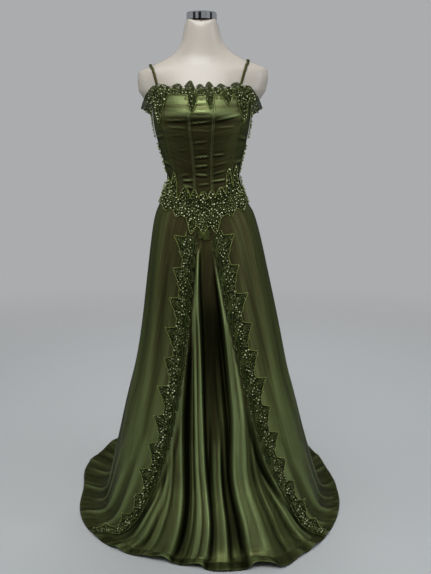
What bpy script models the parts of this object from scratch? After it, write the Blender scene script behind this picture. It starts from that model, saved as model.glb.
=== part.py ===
"""A floor-length satin prom dress with beaded lace, worn by a limbless display form on a stand.

Metres, +Z up. The front faces -Y, and left and right are as seen from the front, so +X is right.
The origin is on the floor, under the middle of the stand's base plate.

Every cloth piece is a wall between an outer and an inner sheet of points. The points are read from
surfaces of an angle, 0 at the front and growing to the right, and a drop, which is the distance
below the waist level and runs on along the floor to the hem.
"""

import bmesh
import bpy
import numpy as np
from mathutils import Vector

MM = 0.001

# Cloth and clearances
SATIN_WALL = 2.0 * MM
LACE_WALL = 1.2 * MM
SEAM_GAP = 0.3 * MM
LACE_LIFT = 1.9 * MM
FIT_EASE = 2.2 * MM
TOP_EASE = 2.3 * MM
INSET_TUCK = 0.8 * MM

# Levels of the dress
WAIST_LEVEL = 1.030
SEAM_POINT = 0.955
SEAM_SIDE = 1.030
SEAM_BACK = 1.020
HEM_DROP = 1.220

# Seams of the bodice and of the skirt, in degrees from the front
CENTRE_SEAM = 16.0
FRONT_SEAM = 52.0
SIDE_SEAM = 92.0
BACK_SEAM = 180.0

# Boning channels, which lie along the front seams
CHANNEL_HALF = 4.0 * MM
CHANNEL_RISE = 1.2 * MM

# The display form, from the flat underside to the neck: half width, depth to the front and to the
# back, and the half width and half depth of the shoulder stumps
FORM_COLUMNS = ("z", "side", "front", "back", "stump", "stump_depth")
FORM_SECTIONS = (
    (0.790, 0.148, 0.095, 0.112, 0.010, 0.010),
    (0.840, 0.153, 0.098, 0.118, 0.010, 0.010),
    (0.900, 0.150, 0.100, 0.114, 0.010, 0.010),
    (0.960, 0.139, 0.095, 0.100, 0.010, 0.010),
    (1.020, 0.122, 0.088, 0.086, 0.010, 0.010),
    (1.090, 0.103, 0.084, 0.078, 0.010, 0.010),
    (1.140, 0.112, 0.090, 0.084, 0.010, 0.010),
    (1.190, 0.126, 0.101, 0.091, 0.010, 0.010),
    (1.235, 0.135, 0.115, 0.098, 0.010, 0.010),
    (1.265, 0.138, 0.119, 0.101, 0.010, 0.010),
    (1.290, 0.139, 0.114, 0.104, 0.060, 0.014),
    (1.300, 0.140, 0.110, 0.105, 0.166, 0.024),
    (1.312, 0.140, 0.104, 0.105, 0.176, 0.035),
    (1.337, 0.139, 0.092, 0.104, 0.190, 0.049),
    (1.365, 0.133, 0.078, 0.098, 0.197, 0.052),
    (1.385, 0.124, 0.068, 0.090, 0.197, 0.049),
    (1.402, 0.108, 0.060, 0.081, 0.174, 0.043),
    (1.418, 0.088, 0.055, 0.071, 0.126, 0.037),
    (1.436, 0.070, 0.051, 0.062, 0.088, 0.034),
    (1.460, 0.058, 0.048, 0.054, 0.056, 0.030),
    (1.500, 0.051, 0.045, 0.050, 0.020, 0.020),
    (1.532, 0.047, 0.043, 0.047, 0.010, 0.010),
)
FORM_EXTRA_RINGS = (0.990, 1.050, 1.072, 1.115, 1.165, 1.324, 1.394, 1.410, 1.427)
CHEST_SQUARENESS = 2.3
STUMP_JOIN = 8.0
# The form leans a little: its right shoulder is higher and further out
SHOULDER_TILT = 0.004
SHOULDER_SHARE = 0.018
CAP_RADIUS = 0.043
CAP_TOP = 1.553
POLE_RADIUS = 0.0125
BASE_RADIUS = 0.150
BASE_THICKNESS = 0.008

# The skirt's plan at each drop: how far it reaches to the left, right, front and back of its own
# middle, where that middle lies behind the pole, and the height of the cloth
SKIRT_COLUMNS = ("drop", "left", "right", "front", "back", "middle", "z")
SKIRT_SECTIONS = (
    (0.000, 0.127, 0.129, 0.096, 0.092, 0.000, 1.030),
    (0.070, 0.148, 0.156, 0.108, 0.112, 0.000, 0.960),
    (0.130, 0.158, 0.172, 0.118, 0.128, 0.002, 0.900),
    (0.254, 0.176, 0.197, 0.140, 0.156, 0.010, 0.776),
    (0.380, 0.195, 0.221, 0.162, 0.188, 0.020, 0.650),
    (0.510, 0.219, 0.246, 0.190, 0.222, 0.035, 0.520),
    (0.630, 0.247, 0.275, 0.222, 0.260, 0.050, 0.400),
    (0.760, 0.274, 0.305, 0.264, 0.300, 0.075, 0.270),
    (0.860, 0.297, 0.332, 0.316, 0.352, 0.110, 0.170),
    (0.930, 0.314, 0.353, 0.368, 0.408, 0.145, 0.100),
    (0.980, 0.329, 0.371, 0.420, 0.460, 0.180, 0.050),
    (1.020, 0.345, 0.389, 0.466, 0.508, 0.208, 0.022),
    (1.060, 0.366, 0.409, 0.505, 0.556, 0.230, 0.008),
    (1.120, 0.392, 0.433, 0.542, 0.610, 0.250, 0.002),
    (1.220, 0.432, 0.458, 0.602, 0.700, 0.270, 0.002),
)
SKIRT_SHIFT = 0.007
WAIST_LEAN = 0.005
SKIRT_SQUARENESS = 2.05
BLEND_DROP = 0.110
SIDE_BLEND_DROP = 0.050

# How far the hem runs out past the oval or stops short of it on the floor
PUSH_COLUMNS = ("angle", "push")
HEM_PUSH = (
    (-180.0, 0.000),
    (-140.0, 0.028),
    (-112.0, 0.028),
    (-85.0, -0.002),
    (-56.0, 0.008),
    (-38.0, 0.000),
    (-28.0, -0.012),
    (-13.0, -0.036),
    (-3.0, -0.028),
    (4.0, -0.002),
    (15.0, 0.004),
    (21.0, 0.036),
    (28.0, 0.018),
    (40.0, 0.010),
    (56.0, 0.000),
    (116.0, -0.012),
    (142.0, 0.008),
    (180.0, 0.000),
)

# The overskirt's two front edges, in degrees from the front
EDGE_COLUMNS = ("drop", "left", "right")
OPENING_EDGES = (
    (0.070, -3.0, 4.0),
    (0.120, -11.0, 14.0),
    (0.310, -17.5, 25.0),
    (0.630, -24.0, 36.0),
    (0.780, -28.0, 39.5),
    (0.940, -32.5, 44.0),
    (1.040, -37.0, 44.0),
    (1.120, -40.0, 43.0),
    (1.220, -41.5, 42.0),
)
INSET_OVERLAP = 0.016
INSET_RECESS = 0.020

# The inset's pleats: where each stands across the panel, 0 at its left edge and 1 at its right, at
# four drops, how far it stands out and its width on either side
PLEAT_DROPS = (0.130, 0.620, 0.900, 1.200)
PLEAT_COLUMNS = ("top", "knee", "shin", "hem", "height", "left_width", "right_width", "start")
PLEATS = (
    (0.25, 0.36, 0.43, 0.48, 0.026, 0.030, 0.010, 0.10),
    (0.86, 0.75, 0.65, 0.66, 0.030, 0.014, 0.046, 0.12),
    (0.02, 0.12, 0.26, 0.36, 0.020, 0.045, 0.012, 0.45),
    (0.50, 0.55, 0.52, 0.56, 0.018, 0.018, 0.012, 0.55),
    (0.95, 0.93, 0.84, 0.82, 0.018, 0.014, 0.024, 0.62),
    (0.04, 0.06, 0.12, 0.18, 0.014, 0.024, 0.012, 0.80),
    (0.98, 0.96, 0.92, 0.92, 0.016, 0.014, 0.020, 0.82),
)

# The overskirt's flutes: the angle of each, how far it stands out at the ankle, its half width in
# degrees, and the drop where it starts
FLUTE_COLUMNS = ("angle", "height", "half_width", "start")
FLUTES = (
    (-62.0, 0.006, 9.0, 0.55),
    (68.0, 0.008, 9.0, 0.50),
    (-94.0, 0.010, 8.0, 0.40),
    (97.0, 0.012, 8.0, 0.40),
    (-116.0, 0.022, 7.0, 0.30),
    (119.0, 0.024, 7.5, 0.28),
    (-138.0, 0.028, 7.0, 0.22),
    (141.0, 0.026, 6.5, 0.24),
    (-160.0, 0.030, 6.5, 0.16),
    (162.0, 0.030, 6.5, 0.18),
)
FLUTE_ON_FLOOR = 0.35

# The bodice's top edge: degrees either side of the front, and height
TOP_COLUMNS = ("angle", "z")
TOP_EDGE = (
    (0.0, 1.336),
    (40.0, 1.338),
    (60.0, 1.343),
    (68.0, 1.344),
    (73.0, 1.321),
    (78.0, 1.298),
    (84.0, 1.287),
    (92.0, 1.282),
    (112.0, 1.276),
    (180.0, 1.270),
)

# Lace: a band with scallops on its inner side and leaf points on its outer side
LACE_BAND = 0.036
LACE_POINT = 0.040
LACE_SCALLOP = 0.013
EDGE_REPEATS = 12
EDGE_LACE_START = 0.052
EDGE_LACE_END = 0.012
RIB_CLEARANCE = 0.7 * MM
SIDE_LACE_LIFT = 0.9 * MM

# The neckline lace: where each leaf point and each scallop stands, in degrees, with its reach and
# its half width
NECK_POINTS = (
    (-86.0, 0.070, 7.0),
    (-62.0, 0.080, 9.0),
    (-12.0, 0.052, 8.0),
    (12.0, 0.040, 7.0),
    (36.0, 0.030, 8.0),
    (62.0, 0.080, 9.0),
    (86.0, 0.070, 7.0),
)
NECK_SCALLOPS = (
    (-88.0, 0.002, 9.0),
    (-58.0, 0.004, 8.0),
    (-37.0, 0.009, 8.0),
    (-19.0, 0.018, 8.0),
    (-2.0, 0.009, 7.0),
    (13.0, 0.015, 7.0),
    (31.0, 0.009, 7.0),
    (52.0, 0.010, 9.0),
    (88.0, 0.002, 9.0),
)
UNDERARM_FLARE = (66.0, 80.0)
UNDERARM_LEVEL = 1.288
FLARE_DROP = 0.018
FLARE_SLOPE = 1.45

# The waist lace: leaf points up on the bodice and down on the skirt
WAIST_UP = (
    (-84.0, 0.020, 7.0),
    (-67.0, 0.040, 7.0),
    (-52.0, 0.064, 8.0),
    (-30.0, 0.044, 11.0),
    (-14.0, 0.056, 11.0),
    (0.0, 0.070, 12.0),
    (14.0, 0.056, 11.0),
    (29.0, 0.044, 11.0),
    (46.0, 0.082, 8.0),
    (60.0, 0.080, 8.0),
    (84.0, 0.040, 6.0),
)
WAIST_DOWN = (
    (-60.0, 0.012, 8.0),
    (-42.0, 0.014, 6.0),
    (-19.0, 0.034, 8.0),
    (0.0, 0.010, 6.0),
    (20.0, 0.034, 8.0),
    (44.0, 0.014, 6.0),
    (62.0, 0.014, 8.0),
)

# Shoulder straps: stations along the form's skin, by angle and height
STRAP_WIDTH = 8.0 * MM
STRAP_THICK = 2.2 * MM
STRAP_COLUMNS = ("left", "left_z", "right", "right_z", "lift")
STRAP_STATIONS = (
    (67.4, 1.3475, 61.2, 1.3475, 0.0026),
    (69.0, 1.358, 63.9, 1.358, 0.0022),
    (70.9, 1.370, 66.5, 1.371, 0.0016),
    (73.3, 1.383, 69.6, 1.386, 0.0010),
    (76.7, 1.394, 74.0, 1.402, 0.0010),
    (83.0, 1.4042, 83.0, 1.4182, 0.0010),
    (90.0, 1.4064, 90.0, 1.4200, 0.0010),
    (97.0, 1.4038, 97.0, 1.4174, 0.0010),
    (102.2, 1.394, 105.2, 1.402, 0.0010),
    (105.8, 1.383, 109.1, 1.386, 0.0010),
    (108.6, 1.370, 112.0, 1.371, 0.0010),
    (112.8, 1.352, 116.1, 1.352, 0.0010),
    (119.4, 1.328, 121.5, 1.328, 0.0014),
    (125.3, 1.305, 126.6, 1.305, 0.0020),
    (130.4, 1.283, 130.6, 1.283, 0.0024),
    (131.7, 1.2768, 131.7, 1.2768, 0.0026),
)

# The concealed zip
ZIP_WIDTH = 4.0 * MM
ZIP_FOOT = 0.965
ZIP_THICK = 1.4 * MM
SLIDER_HALF = 3.5 * MM
SLIDER_PLATE = 2.0 * MM
EAR_AT = 2.4 * MM
EAR_HALF = 0.6 * MM
PIN_RADIUS = 0.7 * MM
PIN_CLEAR = 2.4 * MM
EYE_RADIUS = 1.9 * MM
BORE_RADIUS = 1.0 * MM
EYE_HALF = 1.5 * MM
TAB_THICK = 1.2 * MM
TAB_DROP = 24.0 * MM

SATIN = ("dark green satin", (0.075, 0.095, 0.045), 0.34, 0.0)
LACE = ("beaded lace", (0.110, 0.140, 0.045), 0.55, 0.0)
FORM_SHELL = ("white painted form", (0.80, 0.79, 0.77), 0.40, 0.0)
CHROME = ("chrome", (0.80, 0.80, 0.82), 0.12, 1.0)
ZIP_METAL = ("green enamelled zip", (0.070, 0.090, 0.050), 0.40, 0.3)


def glide(knots, values, at):
    """Reads a smooth curve that passes through the knots and never overshoots them."""
    knots = np.asarray(knots, float)
    values = np.asarray(values, float)
    step = np.diff(knots)
    slope = np.diff(values) / step
    both = slope[:-1] * slope[1:]
    total = np.where(both > 0, slope[:-1] + slope[1:], 1.0)
    inner = np.where(both > 0, 2.0 * both / total, 0.0)
    tangent = np.concatenate(([slope[0]], inner, [slope[-1]]))
    at = np.clip(np.asarray(at, float), knots[0], knots[-1])
    index = np.clip(np.searchsorted(knots, at, side="right") - 1, 0, len(step) - 1)
    t = (at - knots[index]) / step[index]
    rise = values[index + 1] - values[index]
    start = step[index] * tangent[index]
    end = step[index] * tangent[index + 1]
    return (
        values[index]
        + t * start
        + t**2 * (3.0 * rise - 2.0 * start - end)
        + t**3 * (start + end - 2.0 * rise)
    )


def column(rows, names, name):
    return [row[names.index(name)] for row in rows]


def read(rows, names, name, at):
    """Reads one column of a table at any value of its first column."""
    return glide(column(rows, names, names[0]), column(rows, names, name), at)


def ease(start, end, at):
    """0 before start, 1 after end, and a smooth rise between."""
    t = np.clip((np.asarray(at, float) - start) / (end - start), 0.0, 1.0)
    return t * t * (3.0 - 2.0 * t)


def oval(angle, side, depth, squareness):
    """The reach of a rounded outline from its middle, at an angle from the front."""
    across = np.abs(np.sin(angle)) / side
    along = np.abs(np.cos(angle)) / depth
    return (across**squareness + along**squareness) ** (-1.0 / squareness)


def form_reach(angle, z):
    """How far the display form reaches from the axis of its pole."""
    front = np.cos(angle) > 0.0
    depth = np.where(
        front,
        read(FORM_SECTIONS, FORM_COLUMNS, "front", z),
        read(FORM_SECTIONS, FORM_COLUMNS, "back", z),
    )
    side = read(FORM_SECTIONS, FORM_COLUMNS, "side", z)
    tilted = z - SHOULDER_TILT * np.sin(angle) * ease(1.300, 1.330, z)
    stump = read(FORM_SECTIONS, FORM_COLUMNS, "stump", tilted)
    stump = stump * (1.0 + SHOULDER_SHARE * np.sin(angle))
    stump_depth = read(FORM_SECTIONS, FORM_COLUMNS, "stump_depth", tilted)
    chest = oval(angle, side, depth, CHEST_SQUARENESS)
    shoulder = oval(angle, stump, stump_depth, 2.4)
    return (chest**STUMP_JOIN + shoulder**STUMP_JOIN) ** (1.0 / STUMP_JOIN)


def lean(z):
    """The form stands a little askew: its waist and hips lie to the right of its neck."""
    return WAIST_LEAN * (1.0 - ease(1.030, 1.240, z))


def around(angle, reach, z, middle_x=0.0, middle_y=0.0):
    """Points at an angle and reach round a middle, with the form's lean."""
    angle, reach, z = np.broadcast_arrays(angle, reach, z)
    x = middle_x + lean(z) + reach * np.sin(angle)
    y = middle_y - reach * np.cos(angle)
    return np.stack([x, y, z], axis=-1)


def seam_height(angle):
    """The waist seam: level at the sides and the back, and a dropped point at the front."""
    turn = np.abs(np.degrees(angle))
    climb = np.sin(np.clip(turn / 85.0, 0.0, 1.0) * np.pi / 2.0)
    front = SEAM_POINT + (SEAM_SIDE - SEAM_POINT) * climb
    return front - (SEAM_SIDE - SEAM_BACK) * ease(95.0, 180.0, turn)


def top_height(angle):
    return read(TOP_EDGE, TOP_COLUMNS, "z", np.abs(np.degrees(angle)))


def channel_rise(angle, reach):
    """The boning channels: a flat rib along each front seam."""
    rise = np.zeros(np.broadcast(angle, reach).shape)
    for seam in (CENTRE_SEAM, FRONT_SEAM):
        away = np.abs(np.abs(angle) - np.radians(seam)) * reach
        rise = np.maximum(rise, CHANNEL_RISE * (1.0 - ease(CHANNEL_HALF, 1.4 * CHANNEL_HALF, away)))
    return rise


def fitted_reach(angle, z):
    """The outside of the fitted cloth: the form with a little ease, more beside the arm stumps."""
    return form_reach(angle, z) + FIT_EASE + SATIN_WALL + TOP_EASE * ease(1.285, 1.325, z)


def bodice_surface(angle, z, lift=0.0):
    """The bodice's outside, moved out by lift."""
    return around(angle, fitted_reach(angle, z) + lift, z)


def skirt_base(angle, drop):
    """The skirt without its flutes: it leaves the bodice at the waist seam and ends on the floor."""
    front = np.cos(angle) > 0.0
    side = np.where(
        np.sin(angle) < 0.0,
        read(SKIRT_SECTIONS, SKIRT_COLUMNS, "left", drop),
        read(SKIRT_SECTIONS, SKIRT_COLUMNS, "right", drop),
    )
    depth = np.where(
        front,
        read(SKIRT_SECTIONS, SKIRT_COLUMNS, "front", drop),
        read(SKIRT_SECTIONS, SKIRT_COLUMNS, "back", drop),
    )
    z = read(SKIRT_SECTIONS, SKIRT_COLUMNS, "z", drop)
    fitted = fitted_reach(angle, np.maximum(z, 0.8))
    seam_drop = WAIST_LEVEL - seam_height(angle)
    blend = SIDE_BLEND_DROP + (BLEND_DROP - SIDE_BLEND_DROP) * np.cos(angle) ** 2
    free = ease(0.0, blend, drop - seam_drop)
    round_turn = (np.degrees(angle) + 180.0) % 360.0 - 180.0
    push = read(HEM_PUSH, PUSH_COLUMNS, "push", round_turn) * ease(0.94, HEM_DROP, drop)
    reach = fitted + (oval(angle, side, depth, SKIRT_SQUARENESS) - fitted) * free + push
    middle = read(SKIRT_SECTIONS, SKIRT_COLUMNS, "middle", drop)
    shift = SKIRT_SHIFT * ease(0.08, 0.5, drop)
    return around(angle, reach, z, shift, middle)


def normals(surface, angle, drop):
    """The outward direction of a surface, from its slopes."""
    turn = 0.002
    step = 0.002
    drop = np.minimum(drop, HEM_DROP - 1.5 * step)
    across = surface(angle + turn, drop) - surface(angle - turn, drop)
    down = surface(angle, drop + step) - surface(angle, drop - step)
    out = np.cross(down, across)
    return out / np.linalg.norm(out, axis=-1, keepdims=True)


def flute_height(angle, drop):
    """The overskirt's soft flutes, tallest at the ankle and low where they lie on the floor."""
    turn = np.degrees(angle)
    height = np.zeros(np.broadcast(angle, drop).shape)
    for place, tall, half_width, start in FLUTES:
        away = (turn - place + 180.0) % 360.0 - 180.0
        shape = np.exp(-((away / half_width) ** 2))
        grown = ease(start, 0.90, drop) * (1.0 - (1.0 - FLUTE_ON_FLOOR) * ease(0.93, 1.05, drop))
        height = height + tall * shape * grown
    return height


def edge_angle(side, drop):
    return np.radians(read(OPENING_EDGES, EDGE_COLUMNS, side, drop))


def skirt_surface(angle, drop):
    """The overskirt's outside. It rises over the inset's edge where both lie on the floor."""
    angle, drop = np.broadcast_arrays(angle, drop)
    base = skirt_base(angle, drop)
    reach = read(SKIRT_SECTIONS, SKIRT_COLUMNS, "front", drop)
    to_edge = np.minimum(
        np.abs(angle - edge_angle("left", drop)), np.abs(angle - edge_angle("right", drop))
    )
    over_inset = (1.0 - ease(1.6 * INSET_OVERLAP, 3.6 * INSET_OVERLAP, to_edge * reach))
    stacked = (SATIN_WALL + INSET_TUCK) * over_inset * ease(0.80, 0.98, drop)
    lift = flute_height(angle, drop) + stacked
    return base + normals(skirt_base, angle, drop) * lift[..., None]


def pleat_height(across, drop, width):
    """The inset's pleats, steeper on one side, measured from its recessed ground."""
    height = np.zeros(np.broadcast(across, drop).shape)
    for top, knee, shin, hem, tall, left_width, right_width, start in PLEATS:
        place = glide(PLEAT_DROPS, (top, knee, shin, hem), drop)
        away = (across - place) * width
        spread = 1.0 + 0.8 * ease(0.6, 1.1, drop)
        half = np.where(away < 0.0, left_width, right_width) * spread
        shape = np.exp(-((away / half) ** 2))
        flat = 1.0 - 0.45 * ease(0.95, 1.15, drop)
        height = height + tall * shape * ease(start - 0.06, start + 0.20, drop) * flat
    return height


def inset_angle(across, drop):
    """Where a place across the inset lies, and the inset's whole width there. It stops at the
    overskirt's edges at the top and runs on behind them below."""
    left = edge_angle("left", drop)
    right = edge_angle("right", drop)
    reach = read(SKIRT_SECTIONS, SKIRT_COLUMNS, "front", drop)
    lap = -SEAM_GAP + (INSET_OVERLAP + SEAM_GAP) * ease(0.120, 0.160, drop)
    lap = lap / reach
    span = right - left + 2.0 * lap
    return left - lap + span * across, span * reach


def inset_surface(across, drop):
    """The pleated panel, tucked behind the overskirt's edges and recessed between them."""
    across, drop = np.broadcast_arrays(across, drop)
    angle, width = inset_angle(across, drop)
    upright = 1.0 - ease(0.80, 0.98, drop)
    tucked = (SATIN_WALL + INSET_TUCK) * upright * ease(0.078, 0.105, drop)
    from_edge = np.minimum(across, 1.0 - across) * width
    between = ease(1.3 * INSET_OVERLAP, 2.6 * INSET_OVERLAP, from_edge)
    recess = INSET_RECESS * between * upright * ease(0.20, 0.38, drop)
    pleats = pleat_height(across, drop, width) * between
    lift = pleats - recess - tucked
    return skirt_base(angle, drop) + normals(skirt_base, angle, drop) * lift[..., None]


def dress_surface(angle, z, lift):
    """The outside of the bodice above the waist seam and of the skirt below it, moved out."""
    drop = WAIST_LEVEL - z
    fitted = fitted_reach(angle, z)
    below = skirt_base(angle, np.maximum(drop, 0.001))
    shift = SKIRT_SHIFT * ease(0.08, 0.5, drop)
    middle = read(SKIRT_SECTIONS, SKIRT_COLUMNS, "middle", drop)
    free_reach = np.hypot(below[..., 0] - shift - lean(z), below[..., 1] - middle)
    reach = np.where(z < seam_height(angle), free_reach, fitted)
    return around(angle, reach + lift, z, shift, middle)


def bumps(rows, angle):
    """Rounded or pointed shapes along an edge, from rows of angle, reach and half width."""
    turn = np.degrees(angle)
    reach = np.zeros(turn.shape)
    for at, tall, half in rows:
        away = np.abs(turn - at) / half
        reach = np.maximum(reach, tall * np.clip(1.0 - away**1.3, 0.0, 1.0))
    return reach


def along_skin(surface, first, second, offset, steps=4):
    """Moves points sideways from a path on a surface, in the surface, by an offset in metres."""
    h = 0.0005
    start = surface(first, second)
    run = np.gradient(start, axis=0)
    run = run / np.linalg.norm(run, axis=-1, keepdims=True)
    for _ in range(steps):
        by_first = (surface(first + h, second) - surface(first - h, second)) / (2.0 * h)
        by_second = (surface(first, second + h) - surface(first, second - h)) / (2.0 * h)
        out = np.cross(by_second, by_first)
        side = np.cross(out, run)
        side = side / np.linalg.norm(side, axis=-1, keepdims=True)
        side = side * (offset / steps)[..., None]
        uu = np.sum(by_first * by_first, axis=-1)
        uv = np.sum(by_first * by_second, axis=-1)
        vv = np.sum(by_second * by_second, axis=-1)
        su = np.sum(by_first * side, axis=-1)
        sv = np.sum(by_second * side, axis=-1)
        scale = uu * vv - uv * uv
        first = first + (su * vv - sv * uv) / scale
        second = second + (sv * uu - su * uv) / scale
    return first, second


def clear_scene():
    for thing in list(bpy.data.objects):
        bpy.data.objects.remove(thing)


def finish_of(kind):
    """The material of one kind, made once."""
    name, colour, roughness, metallic = kind
    found = bpy.data.materials.get(name)
    if found:
        return found
    made = bpy.data.materials.new(name)
    made.use_nodes = True
    shader = made.node_tree.nodes["Principled BSDF"]
    shader.inputs["Base Color"].default_value = (*colour, 1.0)
    shader.inputs["Roughness"].default_value = roughness
    shader.inputs["Metallic"].default_value = metallic
    made.diffuse_color = (*colour, 1.0)
    return made


def place(name, mesh, kind, parent, sharp=40.0):
    """Makes the mesh a named object with its material, under the parent."""
    mesh.shade_smooth()
    mesh.set_sharp_from_angle(angle=np.radians(sharp))
    made = bpy.data.objects.new(name, mesh)
    bpy.context.scene.collection.objects.link(made)
    made.data.materials.append(finish_of(kind))
    made.parent = parent
    return made


def wall(name, outer, inner, kind, parent, keep=None):
    """A closed wall between two sheets of points, rows by columns. keep leaves cells out as holes."""
    rows, columns = outer.shape[:2]
    if keep is None:
        keep = np.ones((rows - 1, columns - 1), bool)
    points = np.concatenate([outer.reshape(-1, 3), inner.reshape(-1, 3)])
    under = rows * columns
    faces = []
    for i in range(rows - 1):
        for j in range(columns - 1):
            if not keep[i, j]:
                continue
            a, b = i * columns + j, i * columns + j + 1
            d, c = a + columns, b + columns
            if short_way(points[a], points[b], points[c], points[d]):
                halves = ((a, b, c), (a, c, d))
            else:
                halves = ((a, b, d), (b, c, d))
            faces += [half[::-1] for half in halves]
            faces += [tuple(k + under for k in half) for half in halves]
            sides = (
                (i == 0 or not keep[i - 1, j], a, b),
                (j == columns - 2 or not keep[i, j + 1], b, c),
                (i == rows - 2 or not keep[i + 1, j], c, d),
                (j == 0 or not keep[i, j - 1], d, a),
            )
            faces += [(k, m, m + under, k + under) for bare, k, m in sides if bare]
    mesh = bpy.data.meshes.new(name)
    mesh.from_pydata(points.tolist(), [], faces)
    body = bmesh.new()
    body.from_mesh(mesh)
    loose = [v for v in body.verts if not v.link_faces]
    bmesh.ops.delete(body, geom=loose, context="VERTS")
    bmesh.ops.recalc_face_normals(body, faces=body.faces)
    body.to_mesh(mesh)
    body.free()
    return place(name, mesh, kind, parent)


def sheet_wall(name, surface, first, second, kind, parent):
    """A satin wall on a surface: its outer points, and inner points moved in by the cloth."""
    outer = surface(first, second)
    inner = outer - normals(surface, first, second) * SATIN_WALL
    inner[..., 2] = np.maximum(inner[..., 2], 0.0)
    wall(name, outer, inner, kind, parent)
    return outer


def lace_wall(name, under, out, lift, parent, keep=None):
    """A lace wall over points of the cloth below it, moved out."""
    inner = under + out * lift
    return wall(name, inner + out * LACE_WALL, inner, LACE, parent, keep)


def panel_point(grid, across, down):
    """A point of a panel's own mesh, by its place across and down in columns and rows. Outside the
    panel the last cell runs on."""
    rows, columns = grid.shape[:2]
    j = np.clip(np.floor(across).astype(int), 0, columns - 2)
    i = np.clip(np.floor(down).astype(int), 0, rows - 2)
    s = (across - j)[..., None]
    t = (down - i)[..., None]
    a, b, c, d = grid[i, j], grid[i, j + 1], grid[i + 1, j + 1], grid[i + 1, j]
    by_ac = np.where(s >= t, a + (b - a) * s + (c - b) * t, a + (d - a) * t + (c - d) * s)
    by_bd = np.where(
        s + t <= 1.0, a + (b - a) * s + (d - a) * t, c + (d - c) * (1.0 - s) + (b - c) * (1.0 - t)
    )
    return np.where(short_way(a, b, c, d)[..., None], by_ac, by_bd)


def short_way(a, b, c, d):
    """Whether a cell is split from a to c, its shorter diagonal."""
    return np.linalg.norm(a - c, axis=-1) <= np.linalg.norm(b - d, axis=-1)


def make_edge_lace(side, sign, panel, parent):
    """The lace along one front edge of the overskirt, laid on that panel's own mesh."""
    outs = normals_of(panel) * sign
    edge = panel[:, 0]
    length = np.concatenate([[0.0], np.cumsum(np.linalg.norm(np.diff(edge, axis=0), axis=1))])
    repeats = EDGE_REPEATS
    start = EDGE_LACE_START
    repeat = (length[-1] - EDGE_LACE_END - start) / repeats
    phase = np.arange(repeats * 6 + 1) / 6.0
    down = np.interp(start + phase * repeat, length, np.arange(len(length)))
    turn = phase % 1.0
    spike = np.clip(np.minimum((turn - 0.16) / 0.17, (0.90 - turn) / 0.57), 0.0, 1.0)
    scallop = np.sqrt(np.clip(1.0 - ((turn * 2.0 % 1.0 - 0.5) / 0.56) ** 2, 0.0, 1.0))
    near_floor = ease(repeats * 0.60, repeats * 0.80, phase)
    inner = 0.004 - (LACE_SCALLOP - 0.009 * near_floor) * scallop
    outer = LACE_BAND + LACE_POINT * spike
    share = np.array([0.0, 0.30, 0.62, 1.0])
    offset = inner[:, None] + (outer - inner)[:, None] * share
    row = down[:, None] + 0.0 * offset
    cell = np.linalg.norm(panel[:, 1:] - panel[:, :-1], axis=-1)
    run = np.concatenate([np.zeros((len(panel), 1)), np.cumsum(cell, axis=1)], axis=1)
    place_across = np.zeros(offset.shape)
    for k, at in enumerate(down):
        i = min(int(at), len(panel) - 2)
        lengths = run[i] + (run[i + 1] - run[i]) * (at - i)
        inside = np.interp(offset[k], lengths, np.arange(len(lengths)))
        place_across[k] = np.where(offset[k] < 0.0, offset[k] / lengths[1], inside)
    under = panel_point(panel, place_across, row)
    out = panel_point(outs, place_across, row)
    out = out / np.linalg.norm(out, axis=-1, keepdims=True)
    lace_wall("lace_edge_" + side, under, out, LACE_LIFT, parent)


def normals_of(grid):
    """The direction across a grid of points, at each point."""
    out = np.cross(np.gradient(grid, axis=0), np.gradient(grid, axis=1))
    return out / np.linalg.norm(out, axis=-1, keepdims=True)


def laid_lace(name, surface, angle, z, parent, keep=None, lift=None):
    """Lace over the bodice and the top of the skirt, clear of the boning channels."""
    if lift is None:
        lift = CHANNEL_RISE + RIB_CLEARANCE
    inner = surface(angle, z, lift)
    outer = surface(angle, z, lift + LACE_WALL)
    return wall(name, outer, inner, LACE, parent, keep)


def make_neck_lace(parent):
    """The neckline lace: scalloped and open above, with leaf points down on the bodice."""
    turn = np.linspace(-91.0, 91.0, 57)
    angle = np.radians(turn)[None, :]
    top = top_height(angle) + bumps(NECK_SCALLOPS, angle) + 0.002
    flare = ease(*UNDERARM_FLARE, np.abs(np.degrees(angle)))
    low = top_height(angle) - 0.020 - bumps(NECK_POINTS, angle)
    share = np.array([0.0, 0.34, 0.66, 0.88, 1.0])[:, None]
    split = top_height(angle) - 0.006
    z = np.where(share < 0.7, low + (split - low) * share / 0.66, split)
    bend = top_height(angle) - FLARE_DROP
    z[1] = z[1] + (bend[0] - z[1]) * ease(70.0, 80.0, np.abs(turn))
    z = np.where(share > 0.9, top, z)
    z = np.where((share > 0.7) & (share < 0.9), split + (top - split) * 0.55, z)
    lift = CHANNEL_RISE + RIB_CLEARANCE + FLARE_SLOPE * flare * np.maximum(z - bend, 0.0)
    keep = np.ones((4, len(turn) - 1), bool)
    for j in range(8, 48, 3):
        keep[2, j] = False
    laid_lace("lace_neckline", chest_surface, angle + 0.0 * z, z, parent, keep, lift)


def chest_surface(angle, z, lift):
    """The bodice's outside carried up past its top edge. Under the arm it stops following the form,
    because the arm stump stands over it."""
    under_arm = ease(77.0, 83.0, np.abs(np.degrees(angle)))
    level = np.where(z > UNDERARM_LEVEL, UNDERARM_LEVEL, z)
    reach = fitted_reach(angle, z) * (1.0 - under_arm) + fitted_reach(angle, level) * under_arm
    return around(angle, reach + lift, z)


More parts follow.
